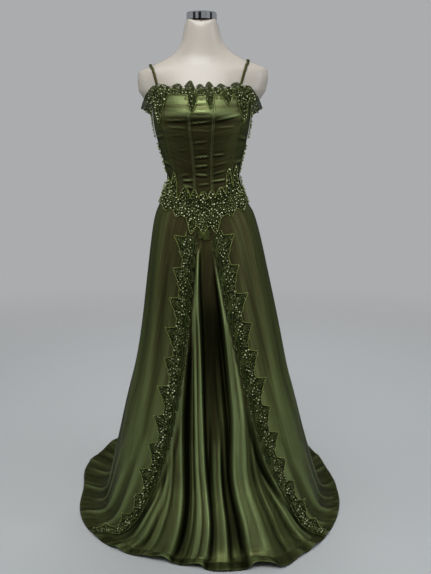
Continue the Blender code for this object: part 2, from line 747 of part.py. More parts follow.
def make_waist_lace(parent):
    """The lace band over the dropped waist seam, with leaf points up and down."""
    turn = np.linspace(-91.0, 91.0, 53)
    angle = np.radians(turn)[None, :]
    seam = seam_height(angle)
    top = seam + 0.022 + bumps(WAIST_UP, angle)
    low = seam - 0.020 - bumps(WAIST_DOWN, angle)
    share = np.array([0.0, 0.3, 0.6, 1.0])[:, None]
    z = low + (top - low) * share
    lift = CHANNEL_RISE + RIB_CLEARANCE + 0.3 * MM
    laid_lace("lace_waist", dress_surface, angle + 0.0 * z, z, parent, None, lift)


def make_side_lace(side, sign, parent):
    """The narrow lace strip down one side of the bodice, between neckline and waist."""
    z = np.linspace(1.185, 1.100, 9)[:, None]
    edge = np.radians(8.0)
    share = np.array([-1.0, 0.0, 1.0])[None, :]
    wave = 1.0 + 0.25 * np.cos(np.arange(9) * np.pi)[:, None]
    angle = sign * np.radians(86.0) + edge * share * wave
    lift = SIDE_LACE_LIFT
    laid_lace("lace_side_" + side, dress_surface, angle, z + 0.0 * angle, parent, None, lift)


def make_strap(side, sign, parent):
    """One shoulder strap over the form's shoulder, from the front top edge to the back."""
    stations = np.arange(len(STRAP_STATIONS))
    fine = np.linspace(0, len(STRAP_STATIONS) - 1, 31)
    turn = glide(stations, column(STRAP_STATIONS, STRAP_COLUMNS, side), fine)
    z = glide(stations, column(STRAP_STATIONS, STRAP_COLUMNS, side + "_z"), fine)
    lift = glide(stations, column(STRAP_STATIONS, STRAP_COLUMNS, "lift"), fine)

    def skin(angle, height):
        return around(angle, form_reach(angle, height), height)

    angle = sign * np.radians(turn)
    columns = []
    for offset in (-STRAP_WIDTH / 2.0, 0.0, STRAP_WIDTH / 2.0):
        spread = np.full(angle.shape, offset)
        columns.append(np.stack(along_skin(skin, angle, z, spread), axis=-1))
    grid = np.stack(columns, axis=1)
    points = skin(grid[..., 0], grid[..., 1])
    out = normals_of(points)
    centre = skin(angle, z)
    outward = centre * np.array([1.0, 1.0, 0.0]) + np.array([0.0, 0.0, 0.08])
    flip = np.sign(np.sum(out[:, 1] * outward, axis=-1))
    out = out * flip[:, None, None]
    lift = lift[:, None, None]
    inner = points + out * lift
    outer = points + out * (lift + STRAP_THICK)
    wall("strap_" + side, outer, inner, SATIN, parent)


def make_zip(parent):
    """The concealed zip at the centre back: its chain, the slider and the pull tab on its pin."""
    back = np.array(np.pi)
    top = float(top_height(back))
    z = np.linspace(ZIP_FOOT + 0.002, top - 0.001, 16)[:, None]
    centre = dress_surface(back + 0.0 * z, z, 0.0)
    across = np.array([-1.0, 1.0])[None, :, None] * np.array([ZIP_WIDTH / 2.0, 0.0, 0.0])
    outer = centre + across
    inner = outer - np.array([0.0, ZIP_THICK, 0.0])
    wall("zip_chain", outer, inner, ZIP_METAL, parent)
    make_slider(float(centre[-1, 0, 1]), top, parent)


def side_profile(name, outline, half, parent):
    """A closed solid from a (y, z) outline, as wide as twice half along X."""
    mesh = bpy.data.meshes.new(name)
    body = bmesh.new()
    face = body.faces.new([body.verts.new((-half, y, z)) for y, z in outline])
    grown = bmesh.ops.extrude_face_region(body, geom=[face])
    moved = [g for g in grown["geom"] if isinstance(g, bmesh.types.BMVert)]
    bmesh.ops.translate(body, verts=moved, vec=(2.0 * half, 0.0, 0.0))
    bmesh.ops.recalc_face_normals(body, faces=body.faces)
    body.to_mesh(mesh)
    body.free()
    return place(name, mesh, ZIP_METAL, parent)


def ring_outline(y, z, radius, first, last, steps):
    turn = np.radians(np.linspace(first, last, steps))
    return [(y + radius * np.sin(t), z - radius * np.cos(t)) for t in turn]


def join(target, other):
    """Joins another solid to the target and removes it."""
    union = target.modifiers.new("Join", "BOOLEAN")
    union.operation = "UNION"
    union.solver = "EXACT"
    union.object = other
    other.hide_render = True


def make_slider(face, top, parent):
    """The slider with its two ears and pin, and the pull tab whose eye turns on the pin."""
    plate = face + SEAM_GAP
    skin = plate + SLIDER_PLATE
    pin_y = skin + PIN_CLEAR
    pin_z = top - 0.008
    slider = side_profile(
        "zip_slider",
        ((plate, top - 0.013), (skin, top - 0.012), (skin, top - 0.002), (plate, top - 0.001)),
        SLIDER_HALF,
        parent,
    )
    for sign in (-1.0, 1.0):
        ear = side_profile(
            f"slider_ear_{int(sign > 0)}",
            ((skin - 0.001, pin_z - 0.0022), (pin_y, pin_z - 0.0013), (pin_y + 0.0013, pin_z),
             (pin_y, pin_z + 0.0013), (skin - 0.001, pin_z + 0.0022)),
            EAR_HALF,
            parent,
        )
        ear.location.x = sign * EAR_AT
        join(slider, ear)
    pin = side_profile(
        "slider_pin", ring_outline(pin_y, pin_z, PIN_RADIUS, 0.0, 345.0, 24), EAR_AT, parent
    )
    join(slider, pin)
    eye = ring_outline(pin_y, pin_z, EYE_RADIUS, 20.0, 340.0, 20)
    tab = (
        (pin_y - TAB_THICK / 2.0, pin_z - TAB_DROP),
        (pin_y + TAB_THICK / 2.0, pin_z - TAB_DROP),
    )
    pull = side_profile("zip_pull", list(eye) + list(tab), EYE_HALF, parent)
    bore = side_profile(
        "pull_bore", ring_outline(pin_y, pin_z, BORE_RADIUS, 0.0, 345.0, 24), 0.01, parent
    )
    cut = pull.modifiers.new("Bore", "BOOLEAN")
    cut.operation = "DIFFERENCE"
    cut.solver = "EXACT"
    cut.object = bore
    bore.hide_render = True


def make_form(parent):
    """The torso as rings of points with flat ends."""
    angles = np.radians(np.arange(0.0, 360.0, 10.0) - 180.0)
    heights = sorted([row[0] for row in FORM_SECTIONS] + list(FORM_EXTRA_RINGS))
    mesh = bpy.data.meshes.new("form_torso")
    body = bmesh.new()
    rings = []
    for z in heights:
        ring = around(angles, form_reach(angles, np.full(angles.shape, z)), z)
        rings.append([body.verts.new(Vector(point)) for point in ring])
    for low, high in zip(rings, rings[1:]):
        for i in range(len(low)):
            j = (i + 1) % len(low)
            body.faces.new((low[i], low[j], high[j], high[i]))
    body.faces.new(list(reversed(rings[0])))
    body.faces.new(rings[-1])
    bmesh.ops.triangulate(body, faces=body.faces)
    bmesh.ops.recalc_face_normals(body, faces=body.faces)
    body.to_mesh(mesh)
    body.free()
    return place("form_torso", mesh, FORM_SHELL, parent)


def turned(name, profile, kind, parent, steps=32):
    """A turned piece, from (radius, height) points down its outer side."""
    mesh = bpy.data.meshes.new(name)
    points = [(radius, 0.0, z) for radius, z in profile]
    mesh.from_pydata(points, [(i, i + 1) for i in range(len(points) - 1)], [])
    made = place(name, mesh, kind, parent)
    turn = made.modifiers.new("Turn", "SCREW")
    turn.steps = turn.render_steps = steps
    turn.use_merge_vertices = True
    turn.merge_threshold = 0.0001
    turn.use_smooth_shade = True
    return made


def make_stand(parent):
    """The chrome neck cap, and the pole with its collar and flange on a round base plate."""
    neck = FORM_SECTIONS[-1][0] + SEAM_GAP
    turned(
        "neck_cap",
        (
            (0.0, CAP_TOP),
            (CAP_RADIUS - 0.003, CAP_TOP),
            (CAP_RADIUS, CAP_TOP - 0.003),
            (CAP_RADIUS, neck),
            (0.0, neck),
        ),
        CHROME,
        parent,
    )
    foot = BASE_THICKNESS + SEAM_GAP
    under_form = FORM_SECTIONS[0][0] - SEAM_GAP
    turned(
        "stand_pole",
        (
            (0.0, under_form),
            (0.035, under_form),
            (0.035, under_form - 0.005),
            (POLE_RADIUS, under_form - 0.012),
            (POLE_RADIUS, foot + 0.040),
            (0.024, foot + 0.028),
            (0.028, foot),
            (0.0, foot),
        ),
        CHROME,
        parent,
        20,
    )
    turned(
        "stand_base",
        (
            (0.0, BASE_THICKNESS),
            (BASE_RADIUS - 0.004, BASE_THICKNESS),
            (BASE_RADIUS, BASE_THICKNESS - 0.003),
            (BASE_RADIUS, 0.0),
            (0.0, 0.0),
        ),
        FORM_SHELL,
        parent,
        40,
    )


def zip_half_gap(z):
    """Half the slot at the centre back: the zip's above its foot, and a plain seam below."""
    slot = ZIP_WIDTH / 2.0 + SEAM_GAP
    return SEAM_GAP / 2.0 + (slot - SEAM_GAP / 2.0) * ease(ZIP_FOOT - 0.040, ZIP_FOOT - 0.010, z)


def bodice_columns(first, last):
    """Angles across a bodice panel: close together on the boning channels and under the arm."""
    rib = np.degrees(CHANNEL_HALF / 0.115)
    seams = (CENTRE_SEAM, FRONT_SEAM, -CENTRE_SEAM, -FRONT_SEAM)
    extra = [first, last]
    if first in seams:
        extra += [first + rib, first + 1.5 * rib]
    if last in seams:
        extra += [last - rib, last - 1.5 * rib]
    under_arm = [61.0, 68.0, 73.0, 78.0, 84.0, -61.0, -68.0, -73.0, -78.0, -84.0]
    extra += [turn for turn in under_arm if first < turn < last]
    even = np.linspace(first, last, 2 + int((last - first) // 9.0))
    kept = [turn for turn in even if all(abs(turn - e) > 3.5 for e in extra)]
    return np.array(sorted(extra + kept))


def make_bodice_panel(name, first, last, parent):
    """One bodice panel between two seams, from the waist seam to the top edge."""
    share = np.linspace(0.0, 1.0, 12)[:, None]
    angle = np.radians(bodice_columns(first, last))[None, :] + 0.0 * share
    low = seam_height(angle) + SEAM_GAP
    z = low + (top_height(angle) - low) * share
    reach = form_reach(angle, z)
    trim_first = np.full(z.shape[0], SEAM_GAP / 2.0)
    trim_last = trim_first.copy()
    if abs(first) == BACK_SEAM:
        trim_first = zip_half_gap(z[:, 0])
    if abs(last) == BACK_SEAM:
        trim_last = zip_half_gap(z[:, -1])
    angle[:, 0] += trim_first / reach[:, 0]
    angle[:, -1] -= trim_last / reach[:, -1]
    rise = channel_rise(angle, reach)
    outer = bodice_surface(angle, z, rise)
    inner = bodice_surface(angle, z, -SATIN_WALL)
    return wall(name, outer, inner, SATIN, parent)


def make_bodice(parent):
    seams = (
        ("bodice_back_left", -BACK_SEAM, -SIDE_SEAM),
        ("bodice_side_left", -SIDE_SEAM, -FRONT_SEAM),
        ("bodice_front_left", -FRONT_SEAM, -CENTRE_SEAM),
        ("bodice_centre_front", -CENTRE_SEAM, CENTRE_SEAM),
        ("bodice_front_right", CENTRE_SEAM, FRONT_SEAM),
        ("bodice_side_right", FRONT_SEAM, SIDE_SEAM),
        ("bodice_back_right", SIDE_SEAM, BACK_SEAM),
    )
    for name, first, last in seams:
        make_bodice_panel(name, first, last, parent)


SKIRT_ROWS = (
    0.0, 0.03, 0.06, 0.10, 0.20, 0.34, 0.50, 0.64, 0.76,
    0.84, 0.89, 0.93, 0.965, 1.0, 1.035, 1.07, 1.12, 1.17, HEM_DROP,
)


def skirt_drops(seam_drop):
    """The drops of a panel's rows, which start at the waist seam."""
    rows = np.array(SKIRT_ROWS)[:, None]
    return seam_drop + (HEM_DROP - seam_drop) * rows / HEM_DROP


def make_overskirt_front(side, sign, parent):
    """The overskirt from its front edge to the side seam."""
    share = np.linspace(0.0, 1.0, 10)[None, :] ** 1.15
    drop = skirt_drops(WAIST_LEVEL - SEAM_POINT)
    for _ in range(4):
        edge = edge_angle(side, drop) + sign * SEAM_GAP / 2.0 / 0.1
        seam = sign * (np.radians(SIDE_SEAM) - SEAM_GAP / 2.0 / 0.3)
        angle = edge + (seam - edge) * share
        drop = skirt_drops((WAIST_LEVEL - seam_height(angle[:1])) + SEAM_GAP / 2.0)
    return sheet_wall("skirt_front_" + side, skirt_surface, angle, drop, SATIN, parent)


def make_overskirt_back(side, sign, parent):
    """The overskirt from its side seam to the centre back, with the zip's slot at the top."""
    share = np.linspace(0.0, 1.0, 14)[None, :]
    start = np.radians(SIDE_SEAM) + SEAM_GAP / 2.0 / 0.3
    angle = sign * (start + (np.pi - start) * share) + 0.0 * np.array(SKIRT_ROWS)[:, None]
    drop = skirt_drops((WAIST_LEVEL - seam_height(angle[:1])) + SEAM_GAP / 2.0)
    z = read(SKIRT_SECTIONS, SKIRT_COLUMNS, "z", drop[:, -1])
    reach = read(SKIRT_SECTIONS, SKIRT_COLUMNS, "back", drop[:, -1])
    angle[:, -1] -= sign * zip_half_gap(z) / reach
    sheet_wall("skirt_back_" + side, skirt_surface, angle, drop, SATIN, parent)


def make_inset(parent):
    """The pleated panel between the overskirt's front edges."""
    across = np.linspace(0.0, 1.0, 31)[None, :]
    rows = np.array(SKIRT_ROWS)[:, None]
    drop = skirt_drops(WAIST_LEVEL - SEAM_POINT) + 0.0 * across
    for _ in range(3):
        angle = inset_angle(across, drop[:1])[0]
        drop = skirt_drops((WAIST_LEVEL - seam_height(angle)) + SEAM_GAP / 2.0)
    sheet_wall("skirt_inset", inset_surface, across + 0.0 * drop, drop, SATIN, parent)


def main():
    clear_scene()
    whole = bpy.data.objects.new("dress_on_form", None)
    bpy.context.scene.collection.objects.link(whole)
    make_form(whole)
    make_stand(whole)
    make_bodice(whole)
    for side, sign in (("left", -1.0), ("right", 1.0)):
        panel = make_overskirt_front(side, sign, whole)
        make_edge_lace(side, sign, panel, whole)
        make_overskirt_back(side, sign, whole)
        make_strap(side, sign, whole)
        make_side_lace(side, sign, whole)
    make_inset(whole)
    make_neck_lace(whole)
    make_waist_lace(whole)
    make_zip(whole)


main()
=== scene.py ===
"""Looks for the satin prom dress on its display form: cloth with folds, beaded corded lace, the
smooth form, and a plain studio. Run as a script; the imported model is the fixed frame.
"""

import math

import bmesh
import bpy
import numpy as np
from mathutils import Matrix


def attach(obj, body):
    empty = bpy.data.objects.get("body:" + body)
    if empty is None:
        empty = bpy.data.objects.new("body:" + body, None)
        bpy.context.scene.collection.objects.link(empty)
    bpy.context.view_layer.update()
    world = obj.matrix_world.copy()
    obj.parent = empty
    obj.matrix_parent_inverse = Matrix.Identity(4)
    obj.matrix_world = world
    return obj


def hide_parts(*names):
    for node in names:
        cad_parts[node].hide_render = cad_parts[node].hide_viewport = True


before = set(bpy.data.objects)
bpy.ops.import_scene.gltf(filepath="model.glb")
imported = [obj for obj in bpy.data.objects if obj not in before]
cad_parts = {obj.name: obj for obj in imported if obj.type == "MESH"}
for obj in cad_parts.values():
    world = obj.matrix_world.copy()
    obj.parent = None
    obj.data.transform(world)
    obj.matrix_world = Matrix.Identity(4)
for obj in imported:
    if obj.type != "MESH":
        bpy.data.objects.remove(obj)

bl_info = {
    "name": "Satin Prom Dress",
    "version": (1, 0, 0),
    "blender": (4, 5, 0),
    "location": "View3D > Sidebar > Dress",
    "description": "Satin panels, beaded lace, display form and studio for a prom dress",
    "category": "Object",
}

MM = 0.001
DRESS = "dress_and_form"

# Levels and clearances, the same as the solids'
SATIN_WALL = 2.0 * MM
SEAM_GAP = 0.3 * MM
FIT_EASE = 2.2 * MM
TOP_EASE = 2.3 * MM
INSET_TUCK = 0.8 * MM
WAIST_LEVEL = 1.030
SEAM_POINT = 0.955
SEAM_SIDE = 1.030
SEAM_BACK = 1.020
HEM_DROP = 1.220
CENTRE_SEAM = 16.0
FRONT_SEAM = 52.0
SIDE_SEAM = 92.0
BACK_SEAM = 180.0

# The display form: half width, depth to the front and back, and the shoulder stumps' half sizes
FORM_COLUMNS = ("z", "side", "front", "back", "stump", "stump_depth")
FORM_SECTIONS = (
    (0.790, 0.148, 0.095, 0.112, 0.010, 0.010),
    (0.840, 0.153, 0.098, 0.118, 0.010, 0.010),
    (0.900, 0.150, 0.100, 0.114, 0.010, 0.010),
    (0.960, 0.139, 0.095, 0.100, 0.010, 0.010),
    (1.020, 0.122, 0.088, 0.086, 0.010, 0.010),
    (1.090, 0.103, 0.084, 0.078, 0.010, 0.010),
    (1.140, 0.112, 0.090, 0.084, 0.010, 0.010),
    (1.190, 0.126, 0.101, 0.091, 0.010, 0.010),
    (1.235, 0.135, 0.115, 0.098, 0.010, 0.010),
    (1.265, 0.138, 0.119, 0.101, 0.010, 0.010),
    (1.290, 0.139, 0.114, 0.104, 0.060, 0.014),
    (1.300, 0.140, 0.110, 0.105, 0.166, 0.024),
    (1.312, 0.140, 0.104, 0.105, 0.176, 0.035),
    (1.337, 0.139, 0.092, 0.104, 0.190, 0.049),
    (1.365, 0.133, 0.078, 0.098, 0.197, 0.052),
    (1.385, 0.124, 0.068, 0.090, 0.197, 0.049),
    (1.402, 0.108, 0.060, 0.081, 0.174, 0.043),
    (1.418, 0.088, 0.055, 0.071, 0.126, 0.037),
    (1.436, 0.070, 0.051, 0.062, 0.088, 0.034),
    (1.460, 0.058, 0.048, 0.054, 0.056, 0.030),
    (1.500, 0.051, 0.045, 0.050, 0.020, 0.020),
    (1.532, 0.047, 0.043, 0.047, 0.010, 0.010),
)
CHEST_SQUARENESS = 2.3
STUMP_JOIN = 8.0
SHOULDER_TILT = 0.004
SHOULDER_SHARE = 0.018
WAIST_LEAN = 0.005

# The skirt's plan at each drop below the waist level
SKIRT_COLUMNS = ("drop", "left", "right", "front", "back", "middle", "z")
SKIRT_SECTIONS = (
    (0.000, 0.127, 0.129, 0.096, 0.092, 0.000, 1.030),
    (0.070, 0.148, 0.156, 0.108, 0.112, 0.000, 0.960),
    (0.130, 0.158, 0.172, 0.118, 0.128, 0.002, 0.900),
    (0.254, 0.176, 0.197, 0.140, 0.156, 0.010, 0.776),
    (0.380, 0.195, 0.221, 0.162, 0.188, 0.020, 0.650),
    (0.510, 0.219, 0.246, 0.190, 0.222, 0.035, 0.520),
    (0.630, 0.247, 0.275, 0.222, 0.260, 0.050, 0.400),
    (0.760, 0.274, 0.305, 0.264, 0.300, 0.075, 0.270),
    (0.860, 0.297, 0.332, 0.316, 0.352, 0.110, 0.170),
    (0.930, 0.314, 0.353, 0.368, 0.408, 0.145, 0.100),
    (0.980, 0.329, 0.371, 0.420, 0.460, 0.180, 0.050),
    (1.020, 0.345, 0.389, 0.466, 0.508, 0.208, 0.022),
    (1.060, 0.366, 0.409, 0.505, 0.556, 0.230, 0.008),
    (1.120, 0.392, 0.433, 0.542, 0.610, 0.250, 0.002),
    (1.220, 0.432, 0.458, 0.602, 0.700, 0.270, 0.002),
)
SKIRT_SHIFT = 0.007
SKIRT_SQUARENESS = 2.05
BLEND_DROP = 0.110
SIDE_BLEND_DROP = 0.050

# How far the hem is pushed out at each angle
PUSH_COLUMNS = ("angle", "push")
HEM_PUSH = (
    (-180.0, 0.000),
    (-140.0, 0.028),
    (-112.0, 0.028),
    (-85.0, -0.002),
    (-56.0, 0.008),
    (-38.0, 0.000),
    (-28.0, -0.012),
    (-13.0, -0.036),
    (-3.0, -0.028),
    (4.0, -0.002),
    (15.0, 0.004),
    (21.0, 0.036),
    (28.0, 0.018),
    (40.0, 0.010),
    (56.0, 0.000),
    (116.0, -0.012),
    (142.0, 0.008),
    (180.0, 0.000),
)

# The angles of the overskirt's two front edges at each drop
EDGE_COLUMNS = ("drop", "left", "right")
OPENING_EDGES = (
    (0.070, -3.0, 4.0),
    (0.120, -11.0, 14.0),
    (0.310, -17.5, 25.0),
    (0.630, -24.0, 36.0),
    (0.780, -28.0, 39.5),
    (0.940, -32.5, 44.0),
    (1.040, -37.0, 44.0),
    (1.120, -40.0, 43.0),
    (1.220, -41.5, 42.0),
)
INSET_OVERLAP = 0.016
INSET_RECESS = 0.028

# The inset's pleats: place across at four drops, height, width on either side, first drop
PLEAT_DROPS = (0.130, 0.620, 0.900, 1.200)
PLEATS = (
    (0.25, 0.36, 0.43, 0.48, 0.026, 0.030, 0.008, 0.10),
    (0.86, 0.75, 0.65, 0.66, 0.030, 0.012, 0.060, 0.12),
    (0.02, 0.12, 0.26, 0.36, 0.020, 0.065, 0.010, 0.45),
    (0.50, 0.55, 0.52, 0.56, 0.016, 0.018, 0.010, 0.66),
    (0.95, 0.93, 0.84, 0.82, 0.010, 0.014, 0.024, 0.62),
    (0.04, 0.06, 0.12, 0.18, 0.014, 0.024, 0.012, 0.80),
    (0.98, 0.96, 0.92, 0.92, 0.016, 0.014, 0.020, 0.82),
)
# Smaller folds on the same panel, in the same columns
SMALL_PLEATS = (
    (0.14, 0.24, 0.34, 0.40, 0.0045, 0.010, 0.005, 0.14),
    (0.19, 0.30, 0.39, 0.45, 0.0035, 0.007, 0.004, 0.18),
    (0.42, 0.43, 0.46, 0.51, 0.0020, 0.007, 0.006, 0.60),
    (0.60, 0.60, 0.58, 0.61, 0.0030, 0.008, 0.008, 0.45),
    (0.72, 0.69, 0.62, 0.63, 0.0040, 0.006, 0.008, 0.35),
    (0.92, 0.82, 0.71, 0.70, 0.0020, 0.007, 0.012, 0.30),
    (0.95, 0.88, 0.77, 0.76, 0.0012, 0.006, 0.012, 0.50),
    (0.06, 0.06, 0.18, 0.27, 0.0045, 0.012, 0.006, 0.55),
    (0.03, 0.04, 0.08, 0.10, 0.0050, 0.010, 0.008, 0.75),
    (0.99, 0.96, 0.90, 0.89, 0.0030, 0.010, 0.010, 0.74),
)

# Flutes of the skirt: angle, height, half width in degrees, and first drop
FLUTES = (
    (-62.0, 0.006, 9.0, 0.55),
    (68.0, 0.008, 9.0, 0.50),
    (-94.0, 0.010, 8.0, 0.40),
    (97.0, 0.012, 8.0, 0.40),
    (-116.0, 0.022, 7.0, 0.30),
    (119.0, 0.024, 7.5, 0.28),
    (-138.0, 0.028, 7.0, 0.22),
    (141.0, 0.026, 6.5, 0.24),
    (-160.0, 0.030, 6.5, 0.16),
    (162.0, 0.030, 6.5, 0.18),
)
FLUTE_ON_FLOOR = 0.35

# Creases of the overskirt: angle and drop of the start and of the end, height, half width
CREASES = (
    (-20.0, 0.16, -26.0, 0.60, 0.0013, 0.012),
    (-34.0, 0.10, -38.0, 0.72, 0.0018, 0.014),
    (-47.0, 0.06, -46.0, 0.80, -0.0017, 0.012),
    (-58.0, 0.12, -52.0, 0.86, 0.0018, 0.015),
    (-71.0, 0.04, -66.0, 0.62, -0.0016, 0.014),
    (-80.0, 0.20, -74.0, 0.98, 0.0024, 0.018),
    (-44.0, 0.70, -50.0, 1.16, 0.0048, 0.018),
    (-56.0, 0.78, -63.0, 1.20, 0.0056, 0.020),
    (-68.0, 0.74, -76.0, 1.14, 0.0044, 0.016),
    (-84.0, 0.80, -88.0, 1.22, 0.0060, 0.022),
    (-60.0, 0.98, -84.0, 1.10, 0.0018, 0.026),
    (28.0, 0.16, 34.0, 0.60, 0.0013, 0.012),
    (40.0, 0.08, 46.0, 0.76, 0.0018, 0.014),
    (52.0, 0.06, 54.0, 0.66, -0.0017, 0.013),
    (62.0, 0.12, 60.0, 0.86, 0.0018, 0.015),
    (76.0, 0.05, 72.0, 0.70, -0.0016, 0.014),
    (84.0, 0.20, 80.0, 0.96, 0.0024, 0.018),
    (50.0, 0.72, 54.0, 1.18, 0.0052, 0.018),
    (62.0, 0.80, 66.0, 1.20, 0.0056, 0.020),
    (74.0, 0.76, 79.0, 1.16, 0.0048, 0.017),
    (88.0, 0.82, 92.0, 1.22, 0.0056, 0.021),
    (58.0, 1.00, 82.0, 1.12, 0.0017, 0.026),
    (-104.0, 0.06, -105.0, 0.80, 0.0021, 0.014),
    (-127.0, 0.05, -127.0, 0.86, -0.0021, 0.016),
    (-148.0, 0.04, -149.0, 0.90, 0.0021, 0.015),
    (-171.0, 0.06, -172.0, 0.92, 0.0024, 0.015),
    (106.0, 0.06, 107.0, 0.84, 0.0021, 0.014),
    (130.0, 0.05, 130.0, 0.86, -0.0021, 0.016),
    (151.0, 0.04, 152.0, 0.92, 0.0021, 0.015),
    (172.0, 0.07, 171.0, 0.90, 0.0024, 0.015),
    (-106.0, 0.86, -109.0, 1.22, 0.0064, 0.022),
    (-126.0, 0.90, -128.0, 1.22, 0.0072, 0.024),
    (-149.0, 0.88, -150.0, 1.21, 0.0064, 0.024),
    (-170.0, 0.92, -171.0, 1.22, 0.0068, 0.024),
    (108.0, 0.86, 110.0, 1.22, 0.0064, 0.022),
    (129.0, 0.90, 131.0, 1.21, 0.0072, 0.024),
    (151.0, 0.88, 152.0, 1.22, 0.0064, 0.024),
    (171.0, 0.92, 171.0, 1.21, 0.0068, 0.024),
)

# The height of the bodice's top edge at each angle from the front
TOP_COLUMNS = ("angle", "z")
TOP_EDGE = (
    (0.0, 1.336),
    (40.0, 1.338),
    (60.0, 1.343),
    (68.0, 1.344),
    (73.0, 1.321),
    (78.0, 1.298),
    (84.0, 1.287),
    (92.0, 1.282),
    (112.0, 1.276),
    (180.0, 1.270),
)

# Pull wrinkles across the bodice: angle and height of the middle, half span in degrees, how far it
# stands out, half height, and rise from left to right
WRINKLES = (
    (0.0, 1.2620, 58.0, 0.0024, 0.0120, 0.000),
    (-3.0, 1.2960, 17.0, 0.0008, 0.0034, 0.003),
    (-2.0, 1.2700, 15.0, 0.0013, 0.0034, 0.000),
    (-2.0, 1.2420, 17.0, 0.0016, 0.0036, 0.003),
    (-1.0, 1.2200, 14.0, 0.0005, 0.0030, -0.002),
    (-3.0, 1.1880, 13.0, 0.0009, 0.0030, 0.003),
    (-2.0, 1.1700, 12.0, 0.0004, 0.0030, 0.001),
    (-1.0, 1.1466, 14.0, 0.0016, 0.0030, 0.002),
    (-2.0, 1.1210, 13.0, 0.0017, 0.0031, 0.002),
    (-3.0, 1.0957, 12.0, 0.0018, 0.0032, -0.001),
    (1.0, 1.0690, 11.0, 0.0009, 0.0030, 0.002),
    (-33.0, 1.2490, 17.0, 0.0009, 0.0034, 0.001),
    (-35.0, 1.2290, 15.0, 0.0006, 0.0030, -0.002),
    (-36.0, 1.2080, 13.0, 0.0004, 0.0030, 0.001),
    (-32.0, 1.1660, 12.0, 0.0004, 0.0030, 0.002),
    (-27.0, 1.0800, 10.0, 0.0015, 0.0032, 0.001),
    (-27.0, 1.0620, 10.0, 0.0012, 0.0034, -0.004),
    (-34.0, 1.0950, 9.0, 0.0006, 0.0030, 0.003),
    (34.0, 1.2560, 18.0, 0.0012, 0.0036, 0.009),
    (33.0, 1.2300, 15.0, 0.0005, 0.0030, 0.002),
    (26.0, 1.1530, 11.0, 0.0011, 0.0030, 0.002),
    (30.0, 1.1270, 13.0, 0.0007, 0.0034, 0.006),
    (29.0, 1.1030, 14.0, 0.0008, 0.0034, 0.006),
    (28.0, 1.0800, 14.0, 0.0015, 0.0032, 0.003),
    (36.0, 1.0600, 9.0, 0.0005, 0.0030, 0.005),
    (-68.0, 1.2050, 14.0, 0.0008, 0.0050, 0.004),
    (-70.0, 1.1300, 14.0, 0.0010, 0.0050, -0.004),
    (-68.0, 1.0760, 15.0, 0.0014, 0.0050, -0.003),
    (69.0, 1.2000, 14.0, 0.0008, 0.0050, -0.004),
    (70.0, 1.1340, 14.0, 0.0010, 0.0050, 0.004),
    (68.0, 1.0800, 15.0, 0.0014, 0.0050, 0.003),
    (-128.0, 1.1900, 26.0, 0.0007, 0.0060, 0.004),
    (-132.0, 1.1250, 26.0, 0.0010, 0.0060, -0.004),
    (-128.0, 1.0780, 26.0, 0.0012, 0.0060, 0.003),
    (128.0, 1.1850, 26.0, 0.0007, 0.0060, -0.004),
    (131.0, 1.1280, 26.0, 0.0011, 0.0060, 0.004),
    (128.0, 1.0800, 26.0, 0.0012, 0.0060, -0.003),
)

CHANNEL_HALF = 4.0 * MM
CHANNEL_RISE = 1.2 * MM
CHANNEL_PRESSED = 0.5

# The neckline lace's points and upper scallops: angle, reach, and half width in degrees
NECK_POINTS = (
    (-84.0, 0.070, 8.0),
    (-58.0, 0.084, 12.0),
    (-12.0, 0.052, 8.0),
    (12.0, 0.040, 7.0),
    (36.0, 0.030, 8.0),
    (58.0, 0.084, 12.0),
    (84.0, 0.070, 8.0),
)
NECK_SCALLOPS = (
    (-88.0, 0.002, 9.0),
    (-58.0, 0.004, 8.0),
    (-37.0, 0.009, 8.0),
    (-19.0, 0.018, 8.0),
    (-2.0, 0.009, 7.0),
    (13.0, 0.015, 7.0),
    (31.0, 0.009, 7.0),
    (52.0, 0.010, 9.0),
    (88.0, 0.002, 9.0),
)
# How round the bumps along an edge are, where 1 is pointed
POINT_ROUNDNESS = 1.3
NECK_ROUNDNESS = 1.9
WAIST_ROUNDNESS = 2.0
UNDERARM_FLARE = (66.0, 80.0)
UNDERARM_LEVEL = 1.288
FLARE_DROP = 0.018
FLARE_SLOPE = 1.45
# The waist lace's points over and under its band, in the same columns
WAIST_UP = (
    (-84.0, 0.020, 7.0),
    (-67.0, 0.040, 7.0),
    (-52.0, 0.064, 8.0),
    (-30.0, 0.044, 11.0),
    (-14.0, 0.056, 11.0),
    (0.0, 0.070, 12.0),
    (14.0, 0.056, 11.0),
    (29.0, 0.044, 11.0),
    (46.0, 0.082, 8.0),
    (60.0, 0.080, 8.0),
    (84.0, 0.040, 6.0),
)
WAIST_DOWN = (
    (-60.0, 0.012, 8.0),
    (-42.0, 0.014, 6.0),
    (-19.0, 0.034, 8.0),
    (0.0, 0.010, 6.0),
    (20.0, 0.034, 8.0),
    (44.0, 0.014, 6.0),
    (62.0, 0.014, 8.0),
)
# The lace along the overskirt's edges
LACE_BAND = 0.036
LACE_POINT = 0.040
LACE_SCALLOP = 0.013
EDGE_REPEATS = 12
# The repeats over which its scallops grow small, and those over which it grows wide
SMALL_SCALLOPS = (0.60 * EDGE_REPEATS, 0.80 * EDGE_REPEATS)
WIDER_BAND = (0.78 * EDGE_REPEATS, 0.93 * EDGE_REPEATS)
EDGE_LACE_START = 0.052
EDGE_LACE_END = 0.012

STRAP_WIDTH = 8.0 * MM
